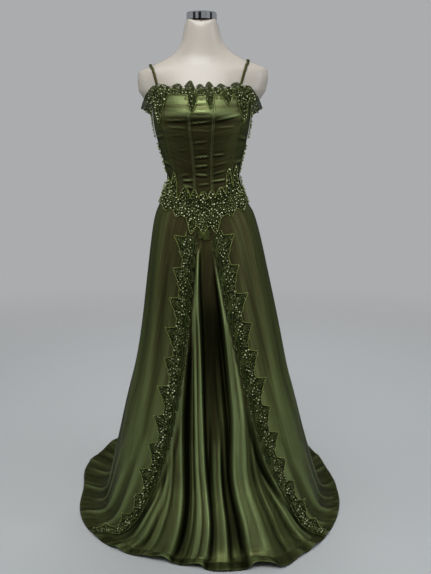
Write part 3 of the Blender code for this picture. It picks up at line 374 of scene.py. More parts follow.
# The straps' middle lines over the shoulders: angle and height of each, and lift off the form
STRAP_COLUMNS = ("left", "left_z", "right", "right_z", "lift")
STRAP_STATIONS = (
    (67.4, 1.3475, 61.2, 1.3475, 0.0026),
    (69.0, 1.358, 63.9, 1.358, 0.0022),
    (70.9, 1.370, 66.5, 1.371, 0.0016),
    (73.3, 1.383, 69.6, 1.386, 0.0010),
    (76.7, 1.394, 74.0, 1.402, 0.0010),
    (83.0, 1.4042, 83.0, 1.4182, 0.0010),
    (90.0, 1.4064, 90.0, 1.4200, 0.0010),
    (97.0, 1.4038, 97.0, 1.4174, 0.0010),
    (102.2, 1.394, 105.2, 1.402, 0.0010),
    (105.8, 1.383, 109.1, 1.386, 0.0010),
    (108.6, 1.370, 112.0, 1.371, 0.0010),
    (112.8, 1.352, 116.1, 1.352, 0.0010),
    (119.4, 1.328, 121.5, 1.328, 0.0014),
    (125.3, 1.305, 126.6, 1.305, 0.0020),
    (130.4, 1.283, 130.6, 1.283, 0.0024),
    (131.7, 1.2768, 131.7, 1.2768, 0.0026),
)


# Curves and surfaces

def glide(knots, values, at):
    """Reads a smooth curve that passes through the knots and never overshoots them."""
    knots = np.asarray(knots, float)
    values = np.asarray(values, float)
    step = np.diff(knots)
    slope = np.diff(values) / step
    both = slope[:-1] * slope[1:]
    total = np.where(both > 0, slope[:-1] + slope[1:], 1.0)
    inner = np.where(both > 0, 2.0 * both / total, 0.0)
    tangent = np.concatenate(([slope[0]], inner, [slope[-1]]))
    at = np.clip(np.asarray(at, float), knots[0], knots[-1])
    index = np.clip(np.searchsorted(knots, at, side="right") - 1, 0, len(step) - 1)
    t = (at - knots[index]) / step[index]
    rise = values[index + 1] - values[index]
    start = step[index] * tangent[index]
    end = step[index] * tangent[index + 1]
    return (
        values[index]
        + t * start
        + t**2 * (3.0 * rise - 2.0 * start - end)
        + t**3 * (start + end - 2.0 * rise)
    )


def column(rows, names, name):
    return [row[names.index(name)] for row in rows]


def read(rows, names, name, at):
    """Reads one column of a table at any value of its first column."""
    return glide(column(rows, names, names[0]), column(rows, names, name), at)


def ease(start, end, at):
    """0 before start, 1 after end, and a smooth rise between."""
    t = np.clip((np.asarray(at, float) - start) / (end - start), 0.0, 1.0)
    return t * t * (3.0 - 2.0 * t)


def form_size(name, z):
    """One column of the form's table at a height."""
    return read(FORM_SECTIONS, FORM_COLUMNS, name, z)


def skirt_size(name, drop):
    """One column of the skirt's table at a drop."""
    return read(SKIRT_SECTIONS, SKIRT_COLUMNS, name, drop)


def oval(angle, side, depth, squareness):
    across = np.abs(np.sin(angle)) / side
    along = np.abs(np.cos(angle)) / depth
    return (across**squareness + along**squareness) ** (-1.0 / squareness)


def form_reach(angle, z):
    """How far the display form reaches from the axis of its pole."""
    depth = np.where(np.cos(angle) > 0.0, form_size("front", z), form_size("back", z))
    side = form_size("side", z)
    tilted = z - SHOULDER_TILT * np.sin(angle) * ease(1.300, 1.330, z)
    stump = form_size("stump", tilted)
    stump = stump * (1.0 + SHOULDER_SHARE * np.sin(angle))
    stump_depth = form_size("stump_depth", tilted)
    chest = oval(angle, side, depth, CHEST_SQUARENESS)
    shoulder = oval(angle, stump, stump_depth, 2.4)
    return (chest**STUMP_JOIN + shoulder**STUMP_JOIN) ** (1.0 / STUMP_JOIN)


def lean(z):
    return WAIST_LEAN * (1.0 - ease(1.030, 1.240, z))


def around(angle, reach, z, middle_x=0.0, middle_y=0.0):
    """Points at an angle and reach round a middle, with the form's lean."""
    angle, reach, z = np.broadcast_arrays(angle, reach, z)
    x = middle_x + lean(z) + reach * np.sin(angle)
    y = middle_y - reach * np.cos(angle)
    return np.stack([x, y, z], axis=-1)


def seam_height(angle):
    """The waist seam: level at the sides and the back, with a dropped point at the front."""
    turn = np.abs(np.degrees(angle))
    climb = np.sin(np.clip(turn / 85.0, 0.0, 1.0) * np.pi / 2.0)
    front = SEAM_POINT + (SEAM_SIDE - SEAM_POINT) * climb
    return front - (SEAM_SIDE - SEAM_BACK) * ease(95.0, 180.0, turn)


def top_height(angle):
    return read(TOP_EDGE, TOP_COLUMNS, "z", np.abs(np.degrees(angle)))


def fitted_reach(angle, z):
    return form_reach(angle, z) + FIT_EASE + SATIN_WALL + TOP_EASE * ease(1.285, 1.325, z)


def channel_rise(angle, reach):
    """The boning channels: a flat rib along each front seam, with the seam's groove in its middle."""
    rise = np.zeros(np.broadcast(angle, reach).shape)
    for seam in (CENTRE_SEAM, FRONT_SEAM):
        away = np.abs(np.abs(angle) - np.radians(seam)) * reach
        rib = CHANNEL_RISE * (1.0 - ease(CHANNEL_HALF, 1.5 * CHANNEL_HALF, away))
        groove = 1.1 * MM * np.exp(-((away / (1.0 * MM)) ** 2))
        rise = np.maximum(rise, CHANNEL_PRESSED * (rib - groove))
    return rise


def wrinkle_height(angle, z):
    """The pull wrinkles across the bodice: each is a ridge with a shallow trough under it."""
    turn = np.degrees(angle)
    height = np.zeros(np.broadcast(angle, z).shape)
    for at, level, span, tall, half, rise in WRINKLES:
        along = (turn - at) / span
        taper = np.clip(1.0 - along**2, 0.0, 1.0) ** 0.8
        away = (z - level - rise * along) / half
        height += tall * taper * (np.exp(-(away**2)) - 0.5 * np.exp(-((away + 1.5) ** 2)))
    return height


def bodice_surface(angle, z, lift=0.0):
    """The bodice's outside with its channels and wrinkles, moved out by lift."""
    reach = fitted_reach(angle, z)
    folds = wrinkle_height(angle, z) * ease(0.0, 0.020, top_height(angle) - z)
    return around(angle, reach + channel_rise(angle, reach) + folds + lift, z)


def skirt_middle(drop):
    """The middle of the skirt's plan, to the side and to the back of the form's axis."""
    return SKIRT_SHIFT * ease(0.08, 0.5, drop), skirt_size("middle", drop)


def skirt_base(angle, drop):
    """The skirt without its flutes: it leaves the bodice at the waist seam and ends on the floor."""
    side = np.where(np.sin(angle) < 0.0, skirt_size("left", drop), skirt_size("right", drop))
    depth = np.where(np.cos(angle) > 0.0, skirt_size("front", drop), skirt_size("back", drop))
    z = skirt_size("z", drop)
    fitted = fitted_reach(angle, np.maximum(z, 0.8))
    seam_drop = WAIST_LEVEL - seam_height(angle)
    blend = SIDE_BLEND_DROP + (BLEND_DROP - SIDE_BLEND_DROP) * np.cos(angle) ** 2
    free = ease(0.0, blend, drop - seam_drop)
    round_turn = (np.degrees(angle) + 180.0) % 360.0 - 180.0
    push = read(HEM_PUSH, PUSH_COLUMNS, "push", round_turn) * ease(0.94, HEM_DROP, drop)
    reach = fitted + (oval(angle, side, depth, SKIRT_SQUARENESS) - fitted) * free + push
    return around(angle, reach, z, *skirt_middle(drop))


def unit(vectors):
    """The directions of vectors."""
    return vectors / np.maximum(np.linalg.norm(vectors, axis=-1, keepdims=True), 1e-9)


def skirt_out(angle, drop):
    """The outward direction of the skirt without its flutes, from its slopes."""
    step = 0.002
    drop = np.minimum(drop, HEM_DROP - 1.5 * step)
    across = skirt_base(angle + step, drop) - skirt_base(angle - step, drop)
    down = skirt_base(angle, drop + step) - skirt_base(angle, drop - step)
    return unit(np.cross(down, across))


def raised_skirt(angle, drop, lift):
    """The skirt without its flutes, moved out by lift."""
    return skirt_base(angle, drop) + skirt_out(angle, drop) * lift[..., None]


def flute_height(angle, drop):
    turn = np.degrees(angle)
    height = np.zeros(np.broadcast(angle, drop).shape)
    for at, tall, half_width, start in FLUTES:
        away = (turn - at + 180.0) % 360.0 - 180.0
        shape = np.exp(-((away / half_width) ** 2))
        grown = ease(start, 0.90, drop) * (1.0 - (1.0 - FLUTE_ON_FLOOR) * ease(0.93, 1.05, drop))
        height = height + tall * shape * grown
    return height


def crease_height(angle, drop):
    """The overskirt's long soft creases, each fading at both ends."""
    turn = np.degrees(angle)
    reach = skirt_size("front", drop)
    height = np.zeros(np.broadcast(angle, drop).shape)
    for first, start, last, end, tall, half in CREASES:
        along = np.clip((drop - start) / (end - start), 0.0, 1.0)
        away = np.radians(turn - first - (last - first) * along) * reach
        height = height + tall * np.sin(np.pi * along) ** 0.7 * np.exp(-((away / half) ** 2))
    return height


# Waves of the cloth on the floor: share of the height, length, start, and turn down the cloth
RIPPLES = (
    (0.55, 0.131, 1.3, 0.0),
    (0.30, 0.083, 0.4, 2.0),
    (0.45, 0.227, 2.1, -3.0),
    (0.28, 0.047, 0.9, 3.0),
)


def ripple(angle, drop):
    """Low uneven buckles in the cloth that lies on the floor, deepest at the front of the hem."""
    way = angle * 0.5 * 2.0 * np.pi
    wave = sum(part * np.sin(way / long + at + turn * drop) for part, long, at, turn in RIPPLES)
    tall = 0.0022 + 0.0048 * np.clip(np.cos(angle), 0.0, 1.0) ** 2
    return tall * np.clip(wave + 0.3, 0.0, None) * ease(1.02, 1.19, drop)


def edge_angle(side, drop):
    return np.radians(read(OPENING_EDGES, EDGE_COLUMNS, side, drop))


def skirt_surface(angle, drop):
    """The overskirt's outside, which rises over the inset's edge where both lie on the floor."""
    angle, drop = np.broadcast_arrays(angle, drop)
    reach = skirt_size("front", drop)
    to_edge = np.minimum(
        np.abs(angle - edge_angle("left", drop)), np.abs(angle - edge_angle("right", drop))
    )
    over_inset = 1.0 - ease(1.6 * INSET_OVERLAP, 3.6 * INSET_OVERLAP, to_edge * reach)
    stacked = (SATIN_WALL + INSET_TUCK) * over_inset * ease(0.80, 0.98, drop)
    creases = crease_height(angle, drop)
    creases = creases * ease(0.0, 0.05, drop) * ease(0.004, 0.030, to_edge * reach)
    on_floor = ease(0.98, 1.06, drop)
    creases = creases * (1.0 - on_floor) + np.maximum(creases, 0.0) * on_floor
    lift = flute_height(angle, drop) + stacked + creases + ripple(angle, drop)
    return raised_skirt(angle, drop, lift)


def pleat_height(rows, across, drop, width):
    """The inset's pleats, steeper on one side, measured from its recessed ground."""
    height = np.zeros(np.broadcast(across, drop).shape)
    for top, knee, shin, hem, tall, left_width, right_width, start in rows:
        at = glide(PLEAT_DROPS, (top, knee, shin, hem), drop)
        away = (across - at) * width
        wider = 1.0 + 0.8 * ease(0.6, 1.1, drop)
        left = -away / (left_width * wider)
        right = away / (right_width * wider)
        soft = (1.0 - ease(0.45, 1.35, left)) * (1.0 - 0.15 * np.clip(left, 0.0, 1.0))
        shape = np.where(away < 0.0, soft, 1.0 - ease(0.15, 1.20, right))
        flat = 1.0 - 0.60 * ease(0.93, 1.13, drop)
        height = height + tall * shape * ease(start - 0.06, start + 0.20, drop) * flat
    return height


def inset_angle(across, drop):
    left = edge_angle("left", drop)
    right = edge_angle("right", drop)
    reach = skirt_size("front", drop)
    lap = (-SEAM_GAP + (INSET_OVERLAP + SEAM_GAP) * ease(0.120, 0.160, drop)) / reach
    span = right - left + 2.0 * lap
    return left - lap + span * across, span * reach


def inset_surface(across, drop):
    """The pleated panel, tucked behind the overskirt's edges and recessed between them."""
    across, drop = np.broadcast_arrays(across, drop)
    angle, width = inset_angle(across, drop)
    upright = 1.0 - ease(0.80, 0.98, drop)
    tucked = (SATIN_WALL + INSET_TUCK) * upright * ease(0.078, 0.105, drop)
    from_edge = np.minimum(across, 1.0 - across) * width
    between = ease(1.3 * INSET_OVERLAP, 2.6 * INSET_OVERLAP, from_edge)
    recess = INSET_RECESS * between * upright * ease(0.20, 0.42, drop)
    pleats = pleat_height(PLEATS, across, drop, width) * between
    small = pleat_height(SMALL_PLEATS, across, drop, width) * between
    lift = pleats + small - recess - tucked + ripple(angle, drop)
    return raised_skirt(angle, drop, lift)


def dress_surface(angle, z, lift):
    """The outside of the bodice above the waist seam and of the skirt below it, moved out."""
    drop = WAIST_LEVEL - z
    below = skirt_base(angle, np.maximum(drop, 0.001))
    shift, middle = skirt_middle(drop)
    free_reach = np.hypot(below[..., 0] - shift - lean(z), below[..., 1] - middle)
    reach = np.where(z < seam_height(angle), free_reach, fitted_reach(angle, z))
    return around(angle, reach + lift, z, shift, middle)


def chest_surface(angle, z, lift):
    """The bodice's outside carried up past its top edge, and flared under the arms."""
    turn = np.abs(np.degrees(angle))
    under_arm = ease(77.0, 83.0, turn)
    level = np.minimum(z, UNDERARM_LEVEL)
    reach = fitted_reach(angle, z) * (1.0 - under_arm) + fitted_reach(angle, level) * under_arm
    bend = top_height(angle) - FLARE_DROP
    flare = FLARE_SLOPE * ease(*UNDERARM_FLARE, turn) * np.maximum(z - bend, 0.0)
    return around(angle, reach + flare + lift, z)


def bumps(rows, angle, roundness=POINT_ROUNDNESS):
    """Shapes along an edge, from rows of angle, reach and half width."""
    turn = np.degrees(angle)
    reach = np.zeros(turn.shape)
    for at, tall, half in rows:
        away = np.abs(turn - at) / half
        reach = np.maximum(reach, tall * np.clip(1.0 - away**roundness, 0.0, 1.0))
    return reach


def grid_normals(grid):
    return unit(np.cross(np.gradient(grid, axis=0), np.gradient(grid, axis=1)))


def run_length(line):
    """How far along a line each of its points lies."""
    return np.concatenate([[0.0], np.cumsum(np.linalg.norm(np.diff(line, axis=0), axis=1))])


def zip_gap(z):
    """Half the gap at the centre back: a seam, and above it the room for the zip's chain."""
    return SEAM_GAP / 2.0 + 2.15 * MM * ease(0.925, 0.955, z)


# Colours and materials

def linear(code):
    """An sRGB hex colour as linear RGB."""
    parts = [int(code[i : i + 2], 16) / 255.0 for i in (1, 3, 5)]
    return [p / 12.92 if p <= 0.04045 else ((p + 0.055) / 1.055) ** 2.4 for p in parts]


def shade(code):
    return (*linear(code), 1.0)


def add_node(tree, kind, settings=None, values=None, links=None, stops=()):
    """Adds a node: its properties, its input values, what its inputs are linked from, and a colour
    ramp's stops, each a place and a linear colour."""
    node = tree.nodes.new(kind)
    for key, value in (settings or {}).items():
        setattr(node, key, value)
    for key, value in (values or {}).items():
        node.inputs[key].default_value = value
    for key, source in (links or {}).items():
        tree.links.new(source, node.inputs[key])
    if stops:
        band = node.color_ramp.elements
        for end in (0, -1):
            band[end].position, band[end].color = stops[end]
        for place, colour in stops[1:-1]:
            band.new(place).color = colour
    return node


def new_material(name, values):
    """A material with its Principled shader set."""
    made = bpy.data.materials.new(name)
    made.use_nodes = True
    shader = made.node_tree.nodes["Principled BSDF"]
    for key, value in values.items():
        shader.inputs[key].default_value = value
    return made, made.node_tree, shader


def satin_taffeta():
    """Shot polyester satin, woven: brown warp under green weft, so it is dark face on and greener where
    it turns away, with a broad silky gloss, long streaks and faint slubs. Its colour also carries
    painted shade between folds, painted highlights along crests, and painted light over the bust and
    near the floor."""
    look = bpy.context.scene.dress_looks
    made, tree, shader = new_material(
        "Shot Satin",
        {
            "Roughness": look.satin_roughness,
            "Metallic": 0.68,
            "Specular IOR Level": 0.4,
            "Specular Tint": look.satin_weft,
            "Anisotropic": 0.4,
        },
    )
    uv = add_node(tree, "ShaderNodeUVMap", {"uv_map": "cloth"})

    def grain(across, along, detail, distortion=0.0):
        """Noise drawn out along the cloth, with its cells per metre across and along."""
        place = add_node(
            tree,
            "ShaderNodeMapping",
            values={"Scale": (across, along, 1.0)},
            links={"Vector": uv.outputs["UV"]},
        )
        return add_node(
            tree,
            "ShaderNodeTexNoise",
            values={"Scale": 1.0, "Detail": detail, "Roughness": 0.6, "Distortion": distortion},
            links={"Vector": place.outputs["Vector"]},
        )

    # Slubs 2.4 mm wide and 70 mm long; streaks 11 mm wide and 0.4 m long; soft waves of the drape
    slub = grain(420.0, 14.0, 3.0)
    streak = grain(90.0, 2.5, 2.0, 0.2)
    drape = grain(26.0, 7.0, 3.0, 0.4)
    # The weft shows where the cloth turns away, unevenly, and near the floor more of it shows as a
    # painted sheen, standing in for the light that the flaring skirt catches
    facing = add_node(tree, "ShaderNodeLayerWeight", values={"Blend": 0.35})
    sway = add_node(
        tree,
        "ShaderNodeMapRange",
        values={"From Min": 0.3, "From Max": 0.7, "To Min": -0.22, "To Max": 0.22},
        links={"Value": streak.outputs["Fac"]},
    )
    where = add_node(tree, "ShaderNodeTexCoord")
    height = add_node(tree, "ShaderNodeSeparateXYZ", links={"Vector": where.outputs["Object"]})
    # Painted sheen: the colour turns greener towards the floor
    painted_lower_sheen = add_node(
        tree,
        "ShaderNodeMapRange",
        values={"From Min": 0.15, "From Max": 0.80, "To Min": 0.28, "To Max": 0.0},
        links={"Value": height.outputs["Z"]},
    )
    turned = facing.outputs["Facing"]
    for more in (sway, painted_lower_sheen):
        links = {0: turned, 1: more.outputs["Result"]}
        both = add_node(tree, "ShaderNodeMath", {"operation": "ADD"}, links=links)
        turned = both.outputs["Value"]
    shot = add_node(
        tree,
        "ShaderNodeValToRGB",
        links={"Fac": turned},
        stops=((0.0, look.satin_warp), (0.45, look.satin_weft), (1.0, look.satin_rim)),
    )
    # Painted shade deep between folds and a painted highlight laid along each crest, both read from the
    # per-point painted light value
    painted_light_and_cord_tone = add_node(tree, "ShaderNodeAttribute", {"attribute_name": "painted_light_and_cord_tone"})
    painted_crest_highlight = add_node(
        tree,
        "ShaderNodeMapRange",
        values={"From Min": 0.55, "From Max": 1.0},
        links={"Value": painted_light_and_cord_tone.outputs["Fac"]},
    )
    crest = add_node(
        tree,
        "ShaderNodeMix",
        {"data_type": "RGBA"},
        {"B": look.satin_painted_highlight},
        {"Factor": painted_crest_highlight.outputs["Result"], "A": shot.outputs["Color"]},
    )
    # Painted shade: the colour darkens where the cloth lies deep between folds
    depth = add_node(
        tree,
        "ShaderNodeValToRGB",
        links={"Fac": painted_light_and_cord_tone.outputs["Fac"]},
        stops=(
            (0.0, shade("#3a3a3a")),
            (0.25, shade("#868686")),
            (0.5, shade("#dcdcdc")),
            (0.62, shade("#ffffff")),
        ),
    )
    thread = add_node(
        tree,
        "ShaderNodeValToRGB",
        links={"Fac": slub.outputs["Fac"]},
        stops=((0.3, shade("#b4b4b4")), (0.7, shade("#ffffff"))),
    )
    colour = crest.outputs["Result"]
    for layer, share in ((depth, 1.0), (thread, 0.6)):
        mixed = add_node(
            tree,
            "ShaderNodeMix",
            {"data_type": "RGBA", "blend_type": "MULTIPLY"},
            {"Factor": share},
            {"A": colour, "B": layer.outputs["Color"]},
        )
        colour = mixed.outputs["Result"]
    tree.links.new(colour, shader.inputs["Base Color"])
    normal = None
    for layer, strength, distance in ((drape, 0.30, 0.004), (streak, 0.35, 0.002), (slub, 0.2, 0.0008)):
        links = {"Height": layer.outputs["Fac"]}
        if normal is not None:
            links["Normal"] = normal
        bump = add_node(
            tree,
            "ShaderNodeBump",
            values={"Strength": strength, "Distance": distance},
            links=links,
        )
        normal = bump.outputs["Normal"]
    tree.links.new(normal, shader.inputs["Normal"])
    return made


def lace_net():
    """Nylon bobbinet, knitted: a dull hexagonal mesh of olive thread over the darker satin."""
    look = bpy.context.scene.dress_looks
    made, tree, shader = new_material("Lace Net", {"Roughness": 0.8, "Specular IOR Level": 0.1})
    uv = add_node(tree, "ShaderNodeUVMap", {"uv_map": "cloth"})
    # Net cells of 1.5 mm, drawn at 3 mm so that they show
    cells = add_node(
        tree,
        "ShaderNodeTexVoronoi",
        {"feature": "DISTANCE_TO_EDGE", "voronoi_dimensions": "2D"},
        {"Scale": 330.0, "Randomness": 0.35},
        {"Vector": uv.outputs["UV"]},
    )
    threads = add_node(
        tree,
        "ShaderNodeValToRGB",
        links={"Fac": cells.outputs["Distance"]},
        stops=((0.04, look.lace_thread), (0.22, look.lace_ground), (1.0, look.lace_ground)),
    )
    tree.links.new(threads.outputs["Color"], shader.inputs["Base Color"])
    holes = add_node(
        tree,
        "ShaderNodeMapRange",
        values={"From Min": 0.05, "From Max": 0.18, "To Min": 0.95, "To Max": 0.55},
        links={"Value": cells.outputs["Distance"]},
    )
    tree.links.new(holes.outputs["Result"], shader.inputs["Alpha"])
    bump = add_node(
        tree,
        "ShaderNodeBump",
        {"invert": True},
        {"Strength": 0.5, "Distance": 0.0008},
        {"Height": cells.outputs["Distance"]},
    )
    tree.links.new(bump.outputs["Normal"], shader.inputs["Normal"])
    return made


def lace_cord():
    """Rayon gimp cord, twisted: matt yellow-olive thread with fine diagonal plies."""
    look = bpy.context.scene.dress_looks
    made, tree, shader = new_material("Gimp Cord", {"Roughness": 0.6, "Specular IOR Level": 0.2})
    where = add_node(tree, "ShaderNodeTexCoord")
    tone = add_node(tree, "ShaderNodeAttribute", {"attribute_name": "painted_light_and_cord_tone"})
    thread = add_node(
        tree,
        "ShaderNodeValToRGB",
        links={"Fac": tone.outputs["Fac"]},
        stops=((0.0, look.cord_dark), (1.0, look.cord_light)),
    )
    tree.links.new(thread.outputs["Color"], shader.inputs["Base Color"])
    # Plies 0.8 mm apart
    plies = add_node(
        tree,
        "ShaderNodeTexWave",
        {"bands_direction": "DIAGONAL"},
        {"Scale": 380.0},
        {"Vector": where.outputs["Object"]},
    )
    bump = add_node(
        tree,
        "ShaderNodeBump",
        values={"Strength": 0.3, "Distance": 0.0003},
        links={"Height": plies.outputs["Fac"]},
    )
    tree.links.new(bump.outputs["Normal"], shader.inputs["Normal"])
    return made


def glass_beads():
    """Silver-lined glass seed beads, drawn and cut: pale olive glass that sparkles like metal."""
    look = bpy.context.scene.dress_looks
    made, tree, shader = new_material(
        "Seed Beads",
        {"Roughness": 0.2, "Metallic": 0.3, "Coat Weight": 0.6, "Coat Roughness": 0.05},
    )
    where = add_node(tree, "ShaderNodeTexCoord")
    speck = add_node(
        tree,
        "ShaderNodeTexNoise",
        values={"Scale": 160.0, "Detail": 1.0},
        links={"Vector": where.outputs["Object"]},
    )
    glass = add_node(
        tree,
        "ShaderNodeValToRGB",
        links={"Fac": speck.outputs["Fac"]},
        stops=((0.52, look.bead_dark), (0.58, look.bead_light)),
    )
    tree.links.new(glass.outputs["Color"], shader.inputs["Base Color"])
    return made


def sewing_thread():
    """Spun polyester sewing thread: matt, a little lighter than the satin, with a fine twist."""
    look = bpy.context.scene.dress_looks
    made, tree, shader = new_material("Polyester Thread", {"Roughness": 0.6})
    where = add_node(tree, "ShaderNodeTexCoord")
    # A twist of 0.4 mm, drawn at 0.8 mm so that it shows
    twist = add_node(
        tree,
        "ShaderNodeTexWave",
        {"bands_direction": "DIAGONAL"},
        {"Scale": 390.0, "Distortion": 0.5},
        {"Vector": where.outputs["Object"]},
    )
    plies = add_node(
        tree,
        "ShaderNodeValToRGB",
        links={"Fac": twist.outputs["Fac"]},
        stops=((0.2, look.cord_dark), (0.8, look.sewing_thread)),
    )
    tree.links.new(plies.outputs["Color"], shader.inputs["Base Color"])
    bump = add_node(
        tree,
        "ShaderNodeBump",
        values={"Strength": 0.3, "Distance": 0.0002},
        links={"Height": twist.outputs["Fac"]},
    )
    tree.links.new(bump.outputs["Normal"], shader.inputs["Normal"])
    return made


def painted_shell():
    """Fibreglass shell, sprayed: warm white satin paint with a faint orange peel."""
    look = bpy.context.scene.dress_looks
    made, tree, shader = new_material(
        "Painted Fibreglass",
        {"Roughness": 0.38, "Specular IOR Level": 0.5, "Coat Weight": 0.25, "Coat Roughness": 0.25},
    )
    where = add_node(tree, "ShaderNodeTexCoord")
    cloud = add_node(
        tree,
        "ShaderNodeTexNoise",
        values={"Scale": 7.0, "Detail": 3.0},
        links={"Vector": where.outputs["Object"]},
    )
    clouding = add_node(
        tree,
        "ShaderNodeMapRange",
        values={"From Min": 0.3, "From Max": 0.7, "To Min": 0.95, "To Max": 1.05},
        links={"Value": cloud.outputs["Fac"]},
    )
    worn = add_node(
        tree,
        "ShaderNodeHueSaturation",
        values={"Color": look.form_paint},
        links={"Value": clouding.outputs["Result"]},
    )
    tree.links.new(worn.outputs["Color"], shader.inputs["Base Color"])
    # Orange peel, 1.5 mm across
    peel = add_node(
        tree,
        "ShaderNodeTexNoise",
        values={"Scale": 650.0, "Detail": 1.0},
        links={"Vector": where.outputs["Object"]},
    )
    bump = add_node(
        tree,
        "ShaderNodeBump",
        values={"Strength": 0.05, "Distance": 0.0004},
        links={"Height": peel.outputs["Fac"]},
    )
    tree.links.new(bump.outputs["Normal"], shader.inputs["Normal"])
    return made


def chromed_steel():
    """Mild steel, spun and chrome plated: a mirror with fine turned lines."""
    made, tree, shader = new_material(
        "Chromed Steel", {"Metallic": 1.0, "Roughness": 0.09, "Base Color": shade("#d9dadc")}
    )
    where = add_node(tree, "ShaderNodeTexCoord")
    lines = add_node(
        tree,
        "ShaderNodeTexWave",
        {"bands_direction": "Z"},
        {"Scale": 260.0, "Distortion": 0.5},
        {"Vector": where.outputs["Object"]},
    )
    bump = add_node(
        tree,
        "ShaderNodeBump",
        values={"Strength": 0.03, "Distance": 0.0002},
        links={"Height": lines.outputs["Fac"]},
    )
    tree.links.new(bump.outputs["Normal"], shader.inputs["Normal"])
    return made


def zip_enamel():
    """Zinc alloy and nylon coil, cast and enamelled: dark green gloss with coil ridges."""
    made, tree, shader = new_material(
        "Enamelled Zip", {"Metallic": 0.4, "Roughness": 0.32, "Base Color": shade("#4a5233")}
    )
    where = add_node(tree, "ShaderNodeTexCoord")
    coil = add_node(
        tree,
        "ShaderNodeTexWave",
        {"bands_direction": "Z"},
        {"Scale": 150.0},
        {"Vector": where.outputs["Object"]},
    )
    bump = add_node(
        tree,
        "ShaderNodeBump",
        values={"Strength": 0.4, "Distance": 0.0005},
        links={"Height": coil.outputs["Fac"]},
    )
    tree.links.new(bump.outputs["Normal"], shader.inputs["Normal"])
    return made


MAKERS = {
    "Shot Satin": satin_taffeta,
    "Lace Net": lace_net,
    "Gimp Cord": lace_cord,
    "Seed Beads": glass_beads,
    "Polyester Thread": sewing_thread,
    "Painted Fibreglass": painted_shell,
    "Chromed Steel": chromed_steel,
    "Enamelled Zip": zip_enamel,
}


def material(name):
    return bpy.data.materials.get(name) or MAKERS[name]()


# Meshes from points

def mesh_object(name, points, faces, finish, uv=None):
    """A smooth mesh object from arrays, with its cloth coordinates in metres."""
    mesh = bpy.data.meshes.new(name)
    mesh.from_pydata(points.tolist(), [], faces.tolist())
    mesh.materials.append(material(finish))
    mesh.shade_smooth()
    if uv is not None:
        layer = mesh.uv_layers.new(name="cloth")
        corner = np.zeros(len(mesh.loops), np.int32)
        mesh.loops.foreach_get("vertex_index", corner)
        layer.data.foreach_set("uv", uv[corner].astype(np.float32).ravel())
    made = bpy.data.objects.new(name, mesh)
    bpy.context.scene.collection.objects.link(made)
    return made


def grid_faces(rows, columns, keep=None):
    i, j = np.meshgrid(np.arange(rows - 1), np.arange(columns - 1), indexing="ij")
    a = i * columns + j
    faces = np.stack([a, a + columns, a + columns + 1, a + 1], axis=-1)
    if keep is not None:
        return faces[keep]
    return faces.reshape(-1, 4)


def cloth_uv(grid):
    """Cloth coordinates in metres, measured along the sheet."""
    across = np.linalg.norm(np.diff(grid, axis=1), axis=-1)
    across = np.concatenate([np.zeros((len(grid), 1)), np.cumsum(across, axis=1)], axis=1)
    across = across - across[:, -1:] / 2.0
    down = np.linalg.norm(np.diff(grid, axis=0), axis=-1).mean(axis=1)
    down = np.concatenate([[0.0], np.cumsum(down)])
    return np.stack([across, np.broadcast_to(down[:, None], across.shape)], axis=-1)


def valley_depth(grid, reach):
    """How far each point lies below the mean of its row within a reach on either side."""
    out = grid_normals(grid)
    depth = np.zeros(grid.shape[:2])
    for k, line in enumerate(grid):
        run = run_length(line)
        step = np.diff(run)[:, None]
        total = np.concatenate([[[0.0] * 3], np.cumsum((line[1:] + line[:-1]) / 2.0 * step, axis=0)])
        low = np.clip(run - reach, 0.0, run[-1])
        high = np.clip(run + reach, 0.0, run[-1])
        ends = [[np.interp(end, run, part) for part in total.T] for end in (low, high)]
        mean = (np.array(ends[1]) - np.array(ends[0])) / np.maximum(high - low, 1e-6)
        depth[k] = np.sum((mean.T - line) * out[k], axis=-1)
    return depth - np.median(depth, axis=1, keepdims=True)


# Painted shade and highlight of the folds: the way along the cloth, the reach that counts as near, and
# the depth as deep
BODICE_PAINTED_FOLDS = (("down", 0.012, 0.0036), ("down", 0.005, 0.0011), ("across", 0.012, 0.0060))
SKIRT_PAINTED_FOLDS = (("across", 0.045, 0.022), ("across", 0.010, 0.0034))
INSET_PAINTED_FOLDS = (("across", 0.070, 0.034), ("across", 0.009, 0.0034))
# Valleys are darkened by painted shade this many times as strongly as crests are brightened
PAINTED_VALLEY_SHARE = 1.5
# Painted light added to the cloth's tone: over the bust, on the overskirt near the floor and on the
# inset near the floor
PAINTED_BUST_LIGHT = 0.22
PAINTED_SKIRT_LIGHT = 0.12
PAINTED_INSET_LIGHT = 0.06


def painted_fold_light(grid, folds, light):
    """Painted shade and highlight: 0 in a deep valley, 0.5 on even cloth and 1 on a crest. Painted
    light is added.
    """
    tone = 0.5 + light + np.zeros(grid.shape[:2])
    for run, reach, deep in folds:
        if run == "across":
            depth = valley_depth(grid, reach)
        else:
            turned = np.swapaxes(grid, 0, 1)[:, ::-1]
            depth = np.swapaxes(valley_depth(turned, reach)[:, ::-1], 0, 1)
        tone = tone - 0.5 * np.where(depth > 0.0, PAINTED_VALLEY_SHARE * depth, depth) / deep
    return np.clip(tone, 0.0, 1.0)


def painted_upper_light(grid):
    """Painted light on the bodice where it faces up, over the bust, and painted shade where it faces
    down.
    """
    up = grid_normals(grid)[..., 2]
    over_bust = 0.2 + 0.8 * ease(1.12, 1.20, grid[..., 2])
    return PAINTED_BUST_LIGHT * (over_bust * ease(0.04, 0.32, up) - 0.25 * ease(0.0, 0.20, -up))


def painted_floor_light(grid, amount):
    """Painted light on the skirt near the floor, standing in for light from the pale floor, down to the
    part that lies on it.
    """
    z = grid[..., 2]
    return amount * (1.0 - ease(0.25, 0.75, z)) * ease(0.004, 0.060, z)


